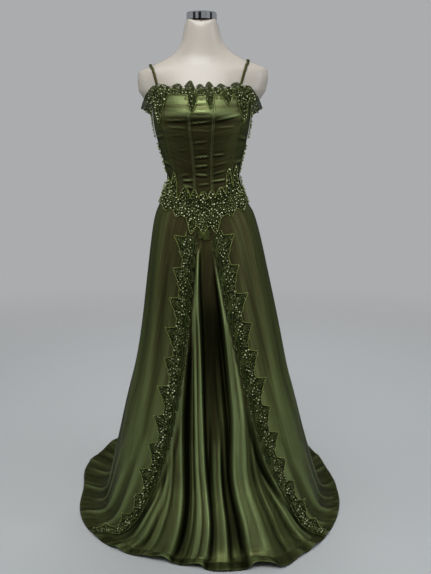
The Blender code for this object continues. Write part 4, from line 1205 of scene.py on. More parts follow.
def set_painted_light_and_cord_tone(made, tone):
    """Gives each point the value that the satin reads as painted shade, highlight and light, and the
    cord as its thread colour, dark inside the motifs and light along the rims.
    """
    layer = made.data.attributes.new("painted_light_and_cord_tone", "FLOAT", "POINT")
    layer.data.foreach_set("value", tone.astype(np.float32))


def cloth_piece(name, grid, finish, thick, keep=None, across=False, folds=(), light=0.0):
    """A thin shell of cloth on a grid of points, with its inside made by Solidify. The weave's
    slubs run down the piece, or across it where across is true."""
    uv = cloth_uv(grid).reshape(-1, 2)
    if across:
        uv = uv[:, ::-1]
    faces = grid_faces(*grid.shape[:2], keep)
    points = grid.reshape(-1, 3)
    # Painted shade in the valleys, painted highlights on the crests and the painted light given, kept
    # for each point
    tone = painted_fold_light(grid, folds, light).ravel()
    if keep is not None:
        used, faces = np.unique(faces, return_inverse=True)
        faces = faces.reshape(-1, 4)
        points = points[used]
        uv = uv[used]
        tone = tone[used]
    made = mesh_object(name, points, faces, finish, uv)
    set_painted_light_and_cord_tone(made, tone)
    shell = made.modifiers.new("Cloth", "SOLIDIFY")
    shell.thickness = thick
    shell.offset = -1.0
    return made


def finish_sheet(piece, node):
    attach(piece, DRESS)
    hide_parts(node)


def satin_panel(node, grid, folds, light, across=False):
    """One panel of satin, which stands for its node with its own measured size."""
    name = node.title()
    piece = cloth_piece(name, grid, "Shot Satin", SATIN_SHELL, None, across, folds, light)
    finish_sheet(piece, node)


# Satin panels

SATIN_SHELL = 1.2 * MM
STRAP_SHELL = 0.8 * MM
SKIRT_LINES = 164
FRONT_COLUMNS = 90
BACK_COLUMNS = 116
INSET_COLUMNS = 200
BODICE_LINES = 90
# Reach of the overskirt's edge and of its side seam, to turn half a seam's gap into an angle
EDGE_REACH = 0.1
SIDE_REACH = 0.3


def drops_from(seam_drop):
    share = np.linspace(0.0, 1.0, SKIRT_LINES)[:, None]
    return seam_drop + (HEM_DROP - seam_drop) * share


def front_panel_grid(side, sign):
    """The overskirt from its front edge to the side seam, columns from left to right."""
    share = np.linspace(0.0, 1.0, FRONT_COLUMNS)[None, :]
    seam = sign * (np.radians(SIDE_SEAM) - SEAM_GAP / 2.0 / SIDE_REACH)
    drop = drops_from(WAIST_LEVEL - SEAM_POINT)
    for _ in range(4):
        edge = edge_angle(side, drop) + sign * SEAM_GAP / 2.0 / EDGE_REACH
        angle = edge + (seam - edge) * share
        drop = drops_from((WAIST_LEVEL - seam_height(angle[:1])) + SEAM_GAP / 2.0)
    return skirt_surface(angle, drop)


def back_panel_grid(sign):
    share = np.linspace(0.0, 1.0, BACK_COLUMNS)[None, :]
    start = np.radians(SIDE_SEAM) + SEAM_GAP / 2.0 / SIDE_REACH
    angle = sign * (start + (np.pi - start) * share)
    drop = drops_from((WAIST_LEVEL - seam_height(angle)) + SEAM_GAP / 2.0)
    angle = angle + 0.0 * drop
    last = drop[:, -1]
    angle[:, -1] -= sign * zip_gap(skirt_size("z", last)) / skirt_size("back", last)
    return skirt_surface(angle, drop)


def inset_grid():
    across = np.linspace(0.0, 1.0, INSET_COLUMNS)[None, :]
    drop = drops_from(WAIST_LEVEL - SEAM_POINT) + 0.0 * across
    for _ in range(3):
        angle = inset_angle(across, drop[:1])[0]
        drop = drops_from((WAIST_LEVEL - seam_height(angle)) + SEAM_GAP / 2.0)
    return inset_surface(across + 0.0 * drop, drop)


def bodice_grid(first, last):
    columns = max(24, int((last - first) * 1.1))
    share = np.linspace(0.0, 1.0, BODICE_LINES)[:, None]
    turn = np.linspace(first, last, columns)[None, :]
    angle = np.radians(turn) + 0.0 * share
    low = seam_height(angle) + SEAM_GAP
    z = top_height(angle) + (low - top_height(angle)) * share
    reach = form_reach(angle, z)
    for k, seam, way in ((0, first, 1.0), (-1, last, -1.0)):
        gap = zip_gap(z[:, k]) if abs(seam) == BACK_SEAM else SEAM_GAP / 2.0
        angle[:, k] += way * gap / reach[:, k]
    return bodice_surface(angle, z)


# Lace: a band is a patch of cloth with its own coordinates, s along and t across, in metres

NET_SHELL = 0.5 * MM
CORD_RADIUS = 0.5 * MM
CORD_SIDES = 5
CORD_STEP = 2.8 * MM
# Radii and spacing of the scattered beads and of those on the motifs
LARGE_BEADS = (1.6 * MM, 3.0 * MM)
SMALL_BEADS = (0.9 * MM, 1.4 * MM)
LARGE_SPACING = 7.5 * MM
BEAD_SPACING = 5.0 * MM
# The lace stands off its panel, higher on the bodice for the channels, and the cords off the lace
LACE_LIFT = 1.2 * MM
BODICE_LACE_LIFT = CHANNEL_RISE + 1.3 * MM
CORD_LIFT = 0.6 * MM
RIM_INSET = 0.8 * MM
LACE_TURNS = np.linspace(-91.0, 91.0, 366)


def make_band(points, along, across):
    """A band from a grid of points: along is s for each row, across is t for each column."""
    return {"points": points, "out": grid_normals(points), "s": along, "t": across}


def on_band(band, s, t, lift):
    """Points of the band at s and t, moved out by lift, and the outward direction there."""
    i = np.clip(np.interp(s, band["s"], np.arange(len(band["s"]))), 0, len(band["s"]) - 1.001)
    j = np.clip(np.interp(t, band["t"], np.arange(len(band["t"]))), 0, len(band["t"]) - 1.001)
    a = np.floor(i).astype(int)
    b = np.floor(j).astype(int)
    u = (i - a)[..., None]
    v = (j - b)[..., None]
    read_at = []
    for grid in (band["points"], band["out"]):
        top = grid[a, b] * (1 - v) + grid[a, b + 1] * v
        low = grid[a + 1, b] * (1 - v) + grid[a + 1, b + 1] * v
        read_at.append(top * (1 - u) + low * u)
    out = unit(read_at[1])
    return read_at[0] + out * np.asarray(lift)[..., None], out


class Motifs:
    """The lines and the beads of one lace."""

    def __init__(self):
        self.lines = []
        self.beads = []

    def add(self, made):
        self.lines += made[0]
        self.beads += made[1]

    def string(self, line, step):
        """Sews a bead to every few points of a line."""
        self.beads += [tuple(p) for p in line[::step]]


def straight(start, end, count):
    return start + np.linspace(0.0, 1.0, count)[:, None] * (end - start)


def leaf_frame(s0, t0, s1, t1):
    """A leaf's stalk, its run to the tip, and the direction across it."""
    run = np.array([s1 - s0, t1 - t0])
    return np.array([s0, t0]), run, np.array([-run[1], run[0]]) / np.hypot(*run)


def leaf_width(half, at):
    return half * np.sin(np.pi * at**0.75) ** 0.85


def leaf(s0, t0, s1, t1, half, veins=3):
    """A pointed leaf from its stalk to its tip: outline, midrib and side veins."""
    u = np.linspace(0.0, 1.0, 15)
    stalk, run, side = leaf_frame(s0, t0, s1, t1)
    middle = stalk + u[:, None] * run
    wide = leaf_width(half, u)
    lines = [middle + side * wide[:, None], middle - side * wide[:, None], middle[:-2]]
    for k in range(veins):
        at = 0.22 + 0.56 * k / max(veins - 1, 1)
        reach = leaf_width(half, at + 0.14) * 0.8
        for sign in (-1.0, 1.0):
            end = stalk + run * (at + 0.14) + side * reach * sign
            lines.append(straight(stalk + run * at, end, 4))
    beads = [middle[k] + sign * side * wide[k] for k in range(2, 14, 2) for sign in (-1.0, 1.0)]
    beads += [middle[k] for k in range(1, 13, 3)] + [middle[-1]]
    return lines, beads


def flower(s, t, radius, petals=5, turn=0.3):
    """A small open flower: looped petals round a bead cluster."""
    lines = []
    beads = [(s, t)]
    for k in range(petals):
        way = turn + 2.0 * np.pi * k / petals
        u = np.linspace(0.0, 2.0 * np.pi, 12)
        reach = radius * (0.55 - 0.45 * np.cos(u))
        wide = radius * 0.36 * np.sin(u)
        x = s + reach * np.cos(way) - wide * np.sin(way)
        y = t + reach * np.sin(way) + wide * np.cos(way)
        lines.append(np.stack([x, y], axis=-1))
        beads.append((s + 0.32 * radius * np.cos(way), t + 0.32 * radius * np.sin(way)))
        beads.append((s + 0.95 * radius * np.cos(way), t + 0.95 * radius * np.sin(way)))
    return lines, beads


def scallop(s0, s1, t0, depth, bars=5):
    """An arched edge: a heavy outer cord, a lighter inner one and bars between them."""
    u = np.linspace(0.0, 1.0, 17)
    arch = np.sin(np.pi * u) ** 0.65
    outer = np.stack([s0 + (s1 - s0) * u, t0 - depth * arch], axis=-1)
    inner = np.stack([s0 + (s1 - s0) * (0.16 + 0.68 * u), t0 - depth * 0.55 * arch], axis=-1)
    lines = [outer, inner]
    beads = []
    for k in range(1, bars + 1):
        at = k / (bars + 1)
        a = np.array([np.interp(at, u, outer[:, 0]), np.interp(at, u, outer[:, 1])])
        b = np.array([np.interp(at, u, inner[:, 0]), np.interp(at, u, inner[:, 1])])
        lines.append(straight(a, b, 3))
        beads.append(a)
    return lines, beads


def filled_leaf(s0, t0, s1, t1, half):
    """A leaf filled with slanting threads, laid side by side on either side of its midrib."""
    stalk, run, side = leaf_frame(s0, t0, s1, t1)
    lines = []
    for at in np.arange(0.02, 0.90, 0.0019 / np.hypot(*run)):
        wide = leaf_width(half, min(at + 0.08, 1.0))
        for sign in (-1.0, 1.0):
            end = stalk + run * (at + 0.08) + side * wide * sign
            lines.append(straight(stalk + run * at, end, 3))
    return lines


def vine(s0, s1, t0, sway, turns):
    u = np.linspace(0.0, 1.0, int(14 * turns) + 2)
    return np.stack([s0 + (s1 - s0) * u, t0 + sway * np.sin(2 * np.pi * turns * u)], axis=-1)


def cord_mesh(name, band, lines, rims, lift):
    """All the cords of a band as one mesh of flattened tubes. The rims are thicker and lighter."""
    points = []
    tones = []
    faces = []
    count = 0
    turn = np.arange(CORD_SIDES) * 2.0 * np.pi / CORD_SIDES
    for line, tone in [(n, 0.0) for n in lines] + [(n, 1.0) for n in rims]:
        wide = CORD_RADIUS * (1.0 + 0.5 * tone)
        length = np.concatenate([[0.0], np.cumsum(np.hypot(*np.diff(line, axis=0).T))])
        steps = max(2, int(length[-1] / CORD_STEP) + 1)
        at = np.linspace(0.0, length[-1], steps)
        s = np.interp(at, length, line[:, 0])
        t = np.interp(at, length, line[:, 1])
        centre, out = on_band(band, s, t, np.full(s.shape, lift))
        side = np.cross(out, unit(np.gradient(centre, axis=0)))
        ring = (
            centre[:, None]
            + side[:, None] * (np.cos(turn) * wide)[None, :, None]
            + out[:, None] * (np.sin(turn) * wide * 0.75)[None, :, None]
        )
        tones.append(np.full(steps * CORD_SIDES, tone, np.float32))
        points.append(ring.reshape(-1, 3))
        base = count + np.arange(steps - 1)[:, None] * CORD_SIDES
        k = np.arange(CORD_SIDES)[None, :]
        n = (k + 1) % CORD_SIDES
        quads = np.stack([base + k, base + n, base + n + CORD_SIDES, base + k + CORD_SIDES], axis=-1)
        faces.append(quads.reshape(-1, 4))
        count += steps * CORD_SIDES
    made = mesh_object(name, np.concatenate(points), np.concatenate(faces), "Gimp Cord")
    set_painted_light_and_cord_tone(made, np.concatenate(tones))
    return made


def bead_mesh(name, band, places, radii, lift):
    """All the beads of a band as one mesh of small faceted balls."""
    shape = bmesh.new()
    bmesh.ops.create_icosphere(shape, subdivisions=1, radius=1.0)
    ball = np.array([corner.co for corner in shape.verts])
    cells = np.array([[corner.index for corner in face.verts] for face in shape.faces])
    shape.free()
    places = np.asarray(places, float)
    radii = np.asarray(radii, float)
    centre, _ = on_band(band, places[:, 0], places[:, 1], lift + radii * 0.8)
    points = (centre[:, None] + ball[None] * radii[:, None, None]).reshape(-1, 3)
    faces = (cells[None] + len(ball) * np.arange(len(places))[:, None, None]).reshape(-1, 3)
    return mesh_object(name, points, faces, "Seed Beads")


def thin_out(places, apart):
    """The places that are left when none is nearer than apart to one before it."""
    cells = {}
    kept = []
    for s, t in places:
        i = int(s // apart)
        j = int(t // apart)
        near = [p for a in (-1, 0, 1) for b in (-1, 0, 1) for p in cells.get((i + a, j + b), ())]
        if all((s - u) ** 2 + (t - v) ** 2 > apart**2 for u, v in near):
            cells.setdefault((i, j), []).append((s, t))
            kept.append((s, t))
    return kept


def dress_lace(ground, node, band, work, rims, scatter, lift, seed, edges=None):
    """Finishes one lace: ground, cords and beads ride on the dress and stand for its node. Edges
    are s, lowest t and highest t, and the scattered beads stay between them."""
    lift = lift + CORD_LIFT
    beads = work.beads
    cords = cord_mesh(ground.name + "_cords", band, work.lines, rims, lift)
    rng = np.random.default_rng(seed)
    spine = []
    for s0, s1, t0, t1, count in scatter:
        spine += list(zip(rng.uniform(s0, s1, count), rng.uniform(t0, t1, count)))

    def inside(s, t, inset):
        at, low, high = edges
        return np.interp(s, at, low) + inset < t < np.interp(s, at, high) - inset

    if edges is not None:
        spine = [(s, t) for s, t in spine if inside(s, t, 2.5 * MM)]
        beads = [(s, t) for s, t in beads if inside(s, t, -0.5 * MM)]
    spine = thin_out(spine, LARGE_SPACING)
    places = thin_out(spine + [tuple(b) for b in beads], BEAD_SPACING)
    radii = np.where(
        np.arange(len(places)) < len(spine),
        rng.uniform(*LARGE_BEADS, len(places)),
        rng.uniform(*SMALL_BEADS, len(places)),
    )
    beading = bead_mesh(ground.name + "_beads", band, places, radii, lift)
    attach(ground, DRESS)
    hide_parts(node)
    for piece in (cords, beading):
        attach(piece, DRESS)


def edge_band(panel, sign):
    """The band along one front edge of the overskirt, from the panel's own fine grid."""
    if sign < 0.0:
        panel = panel[:, ::-1]
    edge = panel[:, 0]
    length = run_length(edge)
    along = np.arange(EDGE_LACE_START - 0.02, length[-1] - 0.002, 0.0035)
    across = np.arange(-0.018, 0.0951, 0.0033)
    cell = np.linalg.norm(np.diff(panel, axis=1), axis=-1)
    run = np.concatenate([np.zeros((len(panel), 1)), np.cumsum(cell, axis=1)], axis=1)
    rows = np.interp(along, length, np.arange(len(length)))
    points = np.zeros((len(along), len(across), 3))
    for k, at in enumerate(rows):
        i = min(int(at), len(panel) - 2)
        f = at - i
        line = panel[i] * (1.0 - f) + panel[i + 1] * f
        reach = run[i] * (1.0 - f) + run[i + 1] * f
        for axis in range(3):
            points[k, :, axis] = np.interp(across, reach, line[:, axis])
        over = across < 0.0
        points[k, over] = line[0] + unit(line[2] - line[0]) * across[over, None]
    band = make_band(points, along, across)
    band["out"] = sign * band["out"]
    return band, length[-1]


def edge_lace(side, sign, panel, seed):
    """The corded and beaded lace along one front edge of the overskirt."""
    band, total = edge_band(panel, sign)
    start = EDGE_LACE_START
    repeat = (total - EDGE_LACE_END - start) / EDGE_REPEATS
    phase = np.linspace(0.0, EDGE_REPEATS, EDGE_REPEATS * 28 + 1)
    turn = phase % 1.0
    spike = np.clip(np.minimum((turn - 0.12) / 0.21, (0.90 - turn) / 0.57), 0.0, 1.0) ** 1.5
    spike = np.maximum(spike, 0.34 * np.clip(1.0 - np.abs(turn - 0.72) / 0.11, 0.0, 1.0) ** 0.8)
    bowl = np.sqrt(np.clip(1.0 - ((turn * 2.0 % 1.0 - 0.5) / 0.56) ** 2, 0.0, 1.0))
    near_floor = ease(*SMALL_SCALLOPS, phase)
    inner = 0.004 - (LACE_SCALLOP - 0.009 * near_floor) * bowl
    uneven = 1.0 - 0.15 * (1.0 + np.sin(2.4 * np.floor(phase) + seed))
    flare = 0.013 * ease(*WIDER_BAND, phase)
    outer = LACE_BAND + flare + LACE_POINT * spike * uneven
    share = np.linspace(0.0, 1.0, 14)
    t = inner[:, None] + (outer - inner)[:, None] * share
    s = (start + phase * repeat)[:, None] + 0.0 * t
    grid, _ = on_band(band, s, t, np.full(t.shape, LACE_LIFT))
    if sign < 0.0:
        grid = grid[:, ::-1]
    ground = cloth_piece("Edge_Lace_" + side.title(), grid, "Lace Net", NET_SHELL)
    work = Motifs()

    def at(k, share):
        return start + k * repeat + share * repeat

    for k in range(EDGE_REPEATS):
        depth = LACE_SCALLOP * (1.0 - 0.7 * float(ease(*SMALL_SCALLOPS, k + 0.5)))
        tip = float(np.interp(at(k, 0.335), s[:, 0], outer)) - 0.002
        work.add(leaf(at(k, 0.46), 0.018, at(k, 0.335), tip, 0.0085, 4))
        work.add(leaf(at(k, 0.62), 0.018, at(k, 0.72), 0.046, 0.0062, 3))
        work.add(leaf(at(k, 0.28), 0.014, at(k, 0.10), 0.033, 0.0055, 2))
        work.add(flower(at(k, 0.50), 0.016, 0.0120, 5, 0.3 + 0.7 * k))
        work.add(flower(at(k, 0.86), 0.024, 0.0085, 6, 0.4 * k))
        work.add(flower(at(k, 0.12), 0.016, 0.0085, 5, 0.9 * k))
        work.add(flower(at(k, 0.36), 0.038, 0.0065, 5, 0.5 * k))
        work.add(scallop(at(k, 0.0) + 0.0015, at(k, 0.5) - 0.0015, 0.004, depth))
        work.add(scallop(at(k, 0.5) + 0.0015, at(k, 1.0) - 0.0015, 0.004, depth))
        if sign > 0.0 and k < EDGE_REPEATS - 2:
            inward = 0.004 + 0.004 * np.sin(1.9 * k)
            work.lines += filled_leaf(at(k, 0.22), 0.014, at(k, 0.62), -inward, 0.0070)
    rim = np.stack([s[:, -1], outer - RIM_INSET], axis=-1)
    work.string(rim, 5)
    end = start + EDGE_REPEATS * repeat
    work.lines.append(vine(start, end, 0.006, 0.0016, EDGE_REPEATS * 3))
    scatter = [(start, end, 0.010, 0.036, EDGE_REPEATS * 90)]
    edges = (start + phase * repeat, inner, outer)
    dress_lace(ground, "lace_edge_" + side, band, work, [rim], scatter, LACE_LIFT, seed, edges)


def angle_band(surface, base, low, high):
    """A band round the front: s runs with the angle, and t is the height over a base line."""
    turn = np.linspace(-91.5, 91.5, 260)
    angle = np.radians(turn)[:, None]
    t = np.linspace(low, high, 60)[None, :]
    z = base(angle) + t
    points = surface(angle + 0.0 * z, z, 0.0)
    line = surface(angle[:, 0], base(angle[:, 0]), 0.0)
    length = run_length(line)
    length = length - np.interp(0.0, turn, length)
    return make_band(points, length, t[0]), lambda degrees: np.interp(degrees, turn, length)


def band_ground(name, band, low, high, s, rows, keep=None):
    share = np.linspace(0.0, 1.0, rows)[:, None]
    t = high + (low - high) * share
    grid, _ = on_band(band, s[None, :] + 0.0 * t, t, np.full(t.shape, BODICE_LACE_LIFT))
    return cloth_piece(name, grid, "Lace Net", NET_SHELL, keep)


def neck_lace(seed):
    band, place = angle_band(chest_surface, top_height, -0.100, 0.026)
    along = place(LACE_TURNS)
    angle = np.radians(LACE_TURNS)
    high = bumps(NECK_SCALLOPS, angle, NECK_ROUNDNESS) + 0.002
    low = -0.020 - bumps(NECK_POINTS, angle)
    rows = 26
    share = np.linspace(0.0, 1.0, rows)[:, None]
    t = high + (low - high) * share
    # A row of small oval openings along the bodice's top edge
    cell_t = 0.5 * (t[1:, 1:] + t[:-1, :-1])
    cell_turn = 0.5 * (LACE_TURNS[1:] + LACE_TURNS[:-1])
    keep = np.ones(cell_t.shape, bool)
    for at in range(-63, 66, 9):
        away = (cell_turn[None, :] - at) / 2.1
        up = (cell_t + 0.0015) / 0.0042
        keep &= ~((away**2 + up**2) < 1.0)
    ground = band_ground("Neck_Lace", band, low, high, along, rows, keep)
    work = Motifs()
    for at, reach, half in NECK_POINTS:
        s = float(place(at))
        work.add(leaf(s, -0.012, s + 0.002, -0.020 - reach + 0.002, 0.0105, 4))
        if half > 10.0:
            work.add(flower(s - 0.012, -0.046, 0.0090, 6, 0.2))
            work.add(flower(s + 0.012, -0.046, 0.0090, 6, 0.8))
        work.add(leaf(s - 0.004, -0.012, s - 0.020, -0.032, 0.0060, 2))
        work.add(leaf(s + 0.004, -0.012, s + 0.020, -0.032, 0.0060, 2))
    for at, tall, half in NECK_SCALLOPS:
        s = float(place(at))
        work.add(flower(s, tall - 0.012, 0.0095, 5, 0.05 * at))
        wide = float(place(at + half * 0.8) - place(at - half * 0.8)) / 2.0
        work.add(scallop(s + wide, s - wide, 0.001, -(tall + 0.0005)))
    for at in range(-81, 82, 9):
        work.add(flower(float(place(at + 2.0)), -0.013, 0.0078, 5, 0.3 * at))
    for sign in (-1.0, 1.0):
        for at, t in ((68.0, -0.007), (72.0, -0.012), (76.0, -0.007), (80.0, -0.012), (85.0, -0.008)):
            work.add(flower(float(place(sign * at)), t, 0.0095, 6, at))
        for at in (70.0, 74.0, 78.0, 82.5, 87.5):
            s = float(place(sign * at))
            work.add(leaf(s, -0.034, s, -0.002, 0.0065, 2))
    rim = np.stack([along, high - RIM_INSET], axis=-1)
    foot = np.stack([along, low + 1.0 * MM], axis=-1)
    line = np.stack([along, np.full(along.shape, -0.0075)], axis=-1)
    work.lines += [rim, line]
    for edge, step in ((rim, 6), (foot, 6), (line, 5)):
        work.string(edge, step)
    scatter = [
        (float(place(first)), float(place(last)), bottom, top, count)
        for first, last, bottom, top, count in (
            (-90, 90, -0.026, -0.004, 700),
            (-90, -56, -0.098, 0.002, 900),
            (56, 90, -0.098, 0.002, 900),
            (-50, 50, -0.070, -0.010, 900),
        )
    ]
    edges = (along, low, high)
    dress_lace(
        ground, "lace_neckline", band, work, [foot], scatter, BODICE_LACE_LIFT, seed, edges
    )


def waist_lace(seed):
    band, place = angle_band(dress_surface, seam_height, -0.060, 0.112)
    along = place(LACE_TURNS)
    angle = np.radians(LACE_TURNS)
    high = 0.022 + bumps(WAIST_UP, angle, WAIST_ROUNDNESS)
    low = -0.020 - bumps(WAIST_DOWN, angle)
    ground = band_ground("Waist_Lace", band, low, high, along, 24)
    work = Motifs()
    for at, reach, _ in WAIST_UP:
        s = float(place(at))
        work.add(leaf(s, 0.006, s, 0.020 + reach, 0.0095, 4))
        work.add(leaf(s - 0.003, 0.010, s - 0.016, 0.030, 0.0055, 2))
        if reach > 0.050:
            work.add(flower(s, 0.018, 0.0095, 6, 0.1 * at))
    for at, reach, _ in WAIST_DOWN:
        s = float(place(at))
        work.add(leaf(s, -0.006, s, -0.019 - reach, 0.0095, 3))
        work.add(leaf(s + 0.003, -0.008, s + 0.018, -0.020, 0.0055, 2))
    for at in range(-84, 85, 12):
        s = float(place(at))
        work.add(flower(s, 0.002, 0.0125, 6, 0.2 * at))
        work.add(flower(s + 0.012, 0.012, 0.0070, 5, 0.4 * at))
        work.add(flower(s + 0.010, -0.010, 0.0070, 5, 0.3 * at))
    work.lines += filled_leaf(float(place(1.0)), -0.020, float(place(9.0)), -0.056, 0.0120)
    work.lines += filled_leaf(float(place(-2.0)), -0.022, float(place(-8.0)), -0.052, 0.0085)
    rims = [np.stack([along, edge], axis=-1) for edge in (high - RIM_INSET, low + RIM_INSET)]
    for rim in rims:
        work.string(rim, 6)
    first = float(place(-90))
    last = float(place(90))
    scatter = [(first, last, -0.022, 0.024, 1200), (first, last, -0.056, 0.106, 2600)]
    edges = (along, low, high)
    dress_lace(
        ground, "lace_waist", band, work, rims, scatter, BODICE_LACE_LIFT, seed, edges
    )


def side_lace(side, sign, seed):
    """The narrow strip down one side of the bodice."""
    z = np.linspace(1.185, 1.100, 40)
    share = np.linspace(-1.0, 1.0, 15)
    angle = sign * np.radians(86.0) + np.radians(10.0) * share[None, :] * np.ones((len(z), 1))
    points = dress_surface(angle, z[:, None] + 0.0 * angle, 0.0)
    s = np.linspace(0.0, 0.085, len(z))
    band = make_band(points, s, share * 0.021)
    half = 0.0165 * (1.0 + 0.22 * np.cos(np.linspace(0.0, 8.0 * np.pi, len(z))))
    place = np.linspace(-1.0, 1.0, 9)[None, :] * half[:, None]
    grid, _ = on_band(band, s[:, None] + 0.0 * place, place, np.full(place.shape, LACE_LIFT))
    ground = cloth_piece("Side_Lace_" + side.title(), grid, "Lace Net", NET_SHELL)
    work = Motifs()
    for k in range(4):
        at = 0.008 + 0.022 * k
        work.add(leaf(at, 0.001, at + 0.010, 0.0135, 0.0045, 2))
        work.add(leaf(at, -0.001, at + 0.010, -0.0135, 0.0045, 2))
        work.add(flower(at + 0.006, 0.0, 0.0070, 5, 0.8 * k))
    rims = [np.stack([s, edge], axis=-1) for edge in (half - RIM_INSET, RIM_INSET - half)]
    for edge in (half, -half):
        work.string(np.stack([s, edge], axis=-1), 3)
    scatter = [(0.0, 0.085, -0.012, 0.012, 40)]
    dress_lace(ground, "lace_side_" + side, band, work, rims, scatter, LACE_LIFT, seed)


# Straps

STRAP_CROWN = 2.0 * MM


def strap_grid(side, sign):
    """One strap on the form's skin, crowned across like a turned tube pressed flat."""
    stations = np.arange(len(STRAP_STATIONS))
    fine = np.linspace(0, len(STRAP_STATIONS) - 1, 160)
    turn, z, lift = (
        glide(stations, column(STRAP_STATIONS, STRAP_COLUMNS, name), fine)
        for name in (side, side + "_z", "lift")
    )
    angle = sign * np.radians(turn)

    def skin(more_turn, more_z):
        return around(angle + more_turn, form_reach(angle + more_turn, z + more_z), z + more_z)

    centre = skin(0.0, 0.0)
    step = 0.0005
    out = unit(np.cross(skin(step, 0.0) - skin(-step, 0.0), skin(0.0, step) - skin(0.0, -step)))
    side_way = np.cross(unit(np.gradient(centre, axis=0)), out)
    share = np.linspace(-1.0, 1.0, 9)
    crown = STRAP_CROWN * np.sqrt(np.clip(1.0 - 0.85 * share**2, 0.0, 1.0))
    return (
        centre[:, None]
        + side_way[:, None] * (share * STRAP_WIDTH / 2.0)[None, :, None]
        + out[:, None] * (lift[:, None] + crown[None, :])[..., None]
    )


# Sewing

CHANNEL_STITCH = 3.1 * MM
HEM_STITCH = 15.0 * MM
STITCH_PITCH = 4.0 * MM
STITCH_LENGTH = 2.9 * MM
STITCH_RADIUS = 0.4 * MM


def channel_rows():
    """Two rows of stitches down each boning channel: points and outward directions."""
    rows = []
    for seam in (-FRONT_SEAM, -CENTRE_SEAM, CENTRE_SEAM, FRONT_SEAM):
        for sign in (-1.0, 1.0):
            at = np.radians(seam)
            high = float(top_height(np.array(at))) - 0.006
            z = np.linspace(high, float(seam_height(np.array(at))) + 0.006, 170)
            angle = at + sign * CHANNEL_STITCH / fitted_reach(at + 0.0 * z, z)
            line = bodice_surface(angle, z)
            out = bodice_surface(angle, z, MM) - line
            rows.append((line, out / MM))
    return rows


def hem_rows():
    """A row of stitches along the hem of each front, each back and the inset."""
    rows = []
    drop = np.full(1100, HEM_DROP - HEM_STITCH)
    for side, sign in (("left", -1.0), ("right", 1.0)):
        edge = float(edge_angle(side, drop)[0])
        angle = np.linspace(edge + sign * 0.015, sign * (np.pi - 0.01), 1100)
        rows.append((skirt_surface(angle, drop), skirt_out(angle, drop)))
    across = np.linspace(0.09, 0.91, 1100)
    angle = inset_angle(across, drop)[0]
    rows.append((inset_surface(across, drop), skirt_out(angle, drop)))
    return rows


def stitches(name, rows):
    """Machine stitches as one mesh: short bars that rise in the middle and sink at both ends."""
    points = []
    faces = []
    count = 0
    turn = np.arange(4) * np.pi / 2.0
    for line, out in rows:
        length = run_length(line)
        at = np.arange(STITCH_PITCH, length[-1] - STITCH_PITCH, STITCH_PITCH)
        rings = []
        for share, rise in ((-0.5, -0.3), (0.0, 0.7), (0.5, -0.3)):
            where = at + share * STITCH_LENGTH
            middle = np.stack([np.interp(where, length, part) for part in line.T], axis=-1)
            up = np.stack([np.interp(where, length, part) for part in out.T], axis=-1)
            rings.append((middle + up * rise * STITCH_RADIUS, up))
        side = unit(np.cross(rings[1][1], rings[2][0] - rings[0][0]))
        for middle, up in rings:
            ring = middle[:, None] + side[:, None] * (np.cos(turn) * STITCH_RADIUS)[None, :, None]
            points.append(ring + up[:, None] * (np.sin(turn) * STITCH_RADIUS)[None, :, None])
        total = len(at)
        each = np.arange(total)[:, None] * 4
        k = np.arange(4)[None, :]
        n = (k + 1) % 4
        for ring in (0, 1):
            a = count + ring * total * 4 + each
            b = a + total * 4
            faces.append(np.stack([a + k, a + n, b + n, b + k], axis=-1).reshape(-1, 4))
        count += 3 * total * 4
    corners = np.concatenate([each.reshape(-1, 3) for each in points])
    return mesh_object(name, corners, np.concatenate(faces), "Polyester Thread")


# The panel's values

class DressSizes(bpy.types.PropertyGroup):
    """Sizes of the studio and of the camera."""

    camera_distance: bpy.props.FloatProperty(
        name="Camera Distance", description="From the form's axis", default=2.5, unit="LENGTH"
    )
    camera_height: bpy.props.FloatProperty(
        name="Camera Height", description="Above the floor", default=1.2, unit="LENGTH"
    )
    camera_side: bpy.props.FloatProperty(
        name="Camera Side", description="Right of the form's axis", default=0.04, unit="LENGTH"
    )
    camera_tilt: bpy.props.FloatProperty(
        name="Camera Tilt",
        description="Below the horizon",
        default=math.radians(10.1),
        subtype="ANGLE",
    )
    camera_lens: bpy.props.FloatProperty(
        name="Lens", description="Focal length in millimetres", default=52.56
    )
    floor_radius: bpy.props.FloatProperty(
        name="Floor Radius", description="Half width of the floor", default=9.0, unit="LENGTH"
    )


def colour_value(name, description, code):
    """A colour in the panel, whose default is given as an sRGB hex code."""
    return bpy.props.FloatVectorProperty(
        name=name, description=description, default=shade(code), subtype="COLOR", size=4
    )


class DressLooks(bpy.types.PropertyGroup):
    """Colours of the cloth, the lace, the form and the studio."""

    satin_warp: colour_value("Satin Warp", "Colour face on", "#4f4a2f")
    satin_weft: colour_value("Satin Weft", "Colour on slopes", "#616a3f")
    satin_rim: colour_value("Satin Rim", "Colour where it turns away", "#4f5033")
    # Painted highlight colour laid along the crests of the folds
    satin_painted_highlight: colour_value("Satin Crest", "Colour along the folds", "#98aa72")
    satin_roughness: bpy.props.FloatProperty(
        name="Satin Roughness", description="Spread of the sheen", default=0.46, min=0.0, max=1.0
    )
    lace_ground: colour_value("Lace Ground", "Between the net's threads", "#131709")
    lace_thread: colour_value("Lace Thread", "The net's threads", "#2d3515")
    cord_dark: colour_value("Cord Dark", "Gimp cord inside the motifs", "#424c1f")
    cord_light: colour_value("Cord Light", "Gimp cord along the edges", "#7d8944")
    bead_dark: colour_value("Bead Dark", "Olive beads", "#5f6930")
    bead_light: colour_value("Bead Light", "Clear beads", "#dde0b0")
    sewing_thread: colour_value("Sewing Thread", "Stitches of the channels and hem", "#5c6638")
    form_paint: colour_value("Form Paint", "The display form", "#b3aca1")
    floor_colour: colour_value("Floor", "Floor cloth", "#b0b3b4")
    backdrop: colour_value("Backdrop", "Behind the dress", "#abacae")


# Studio

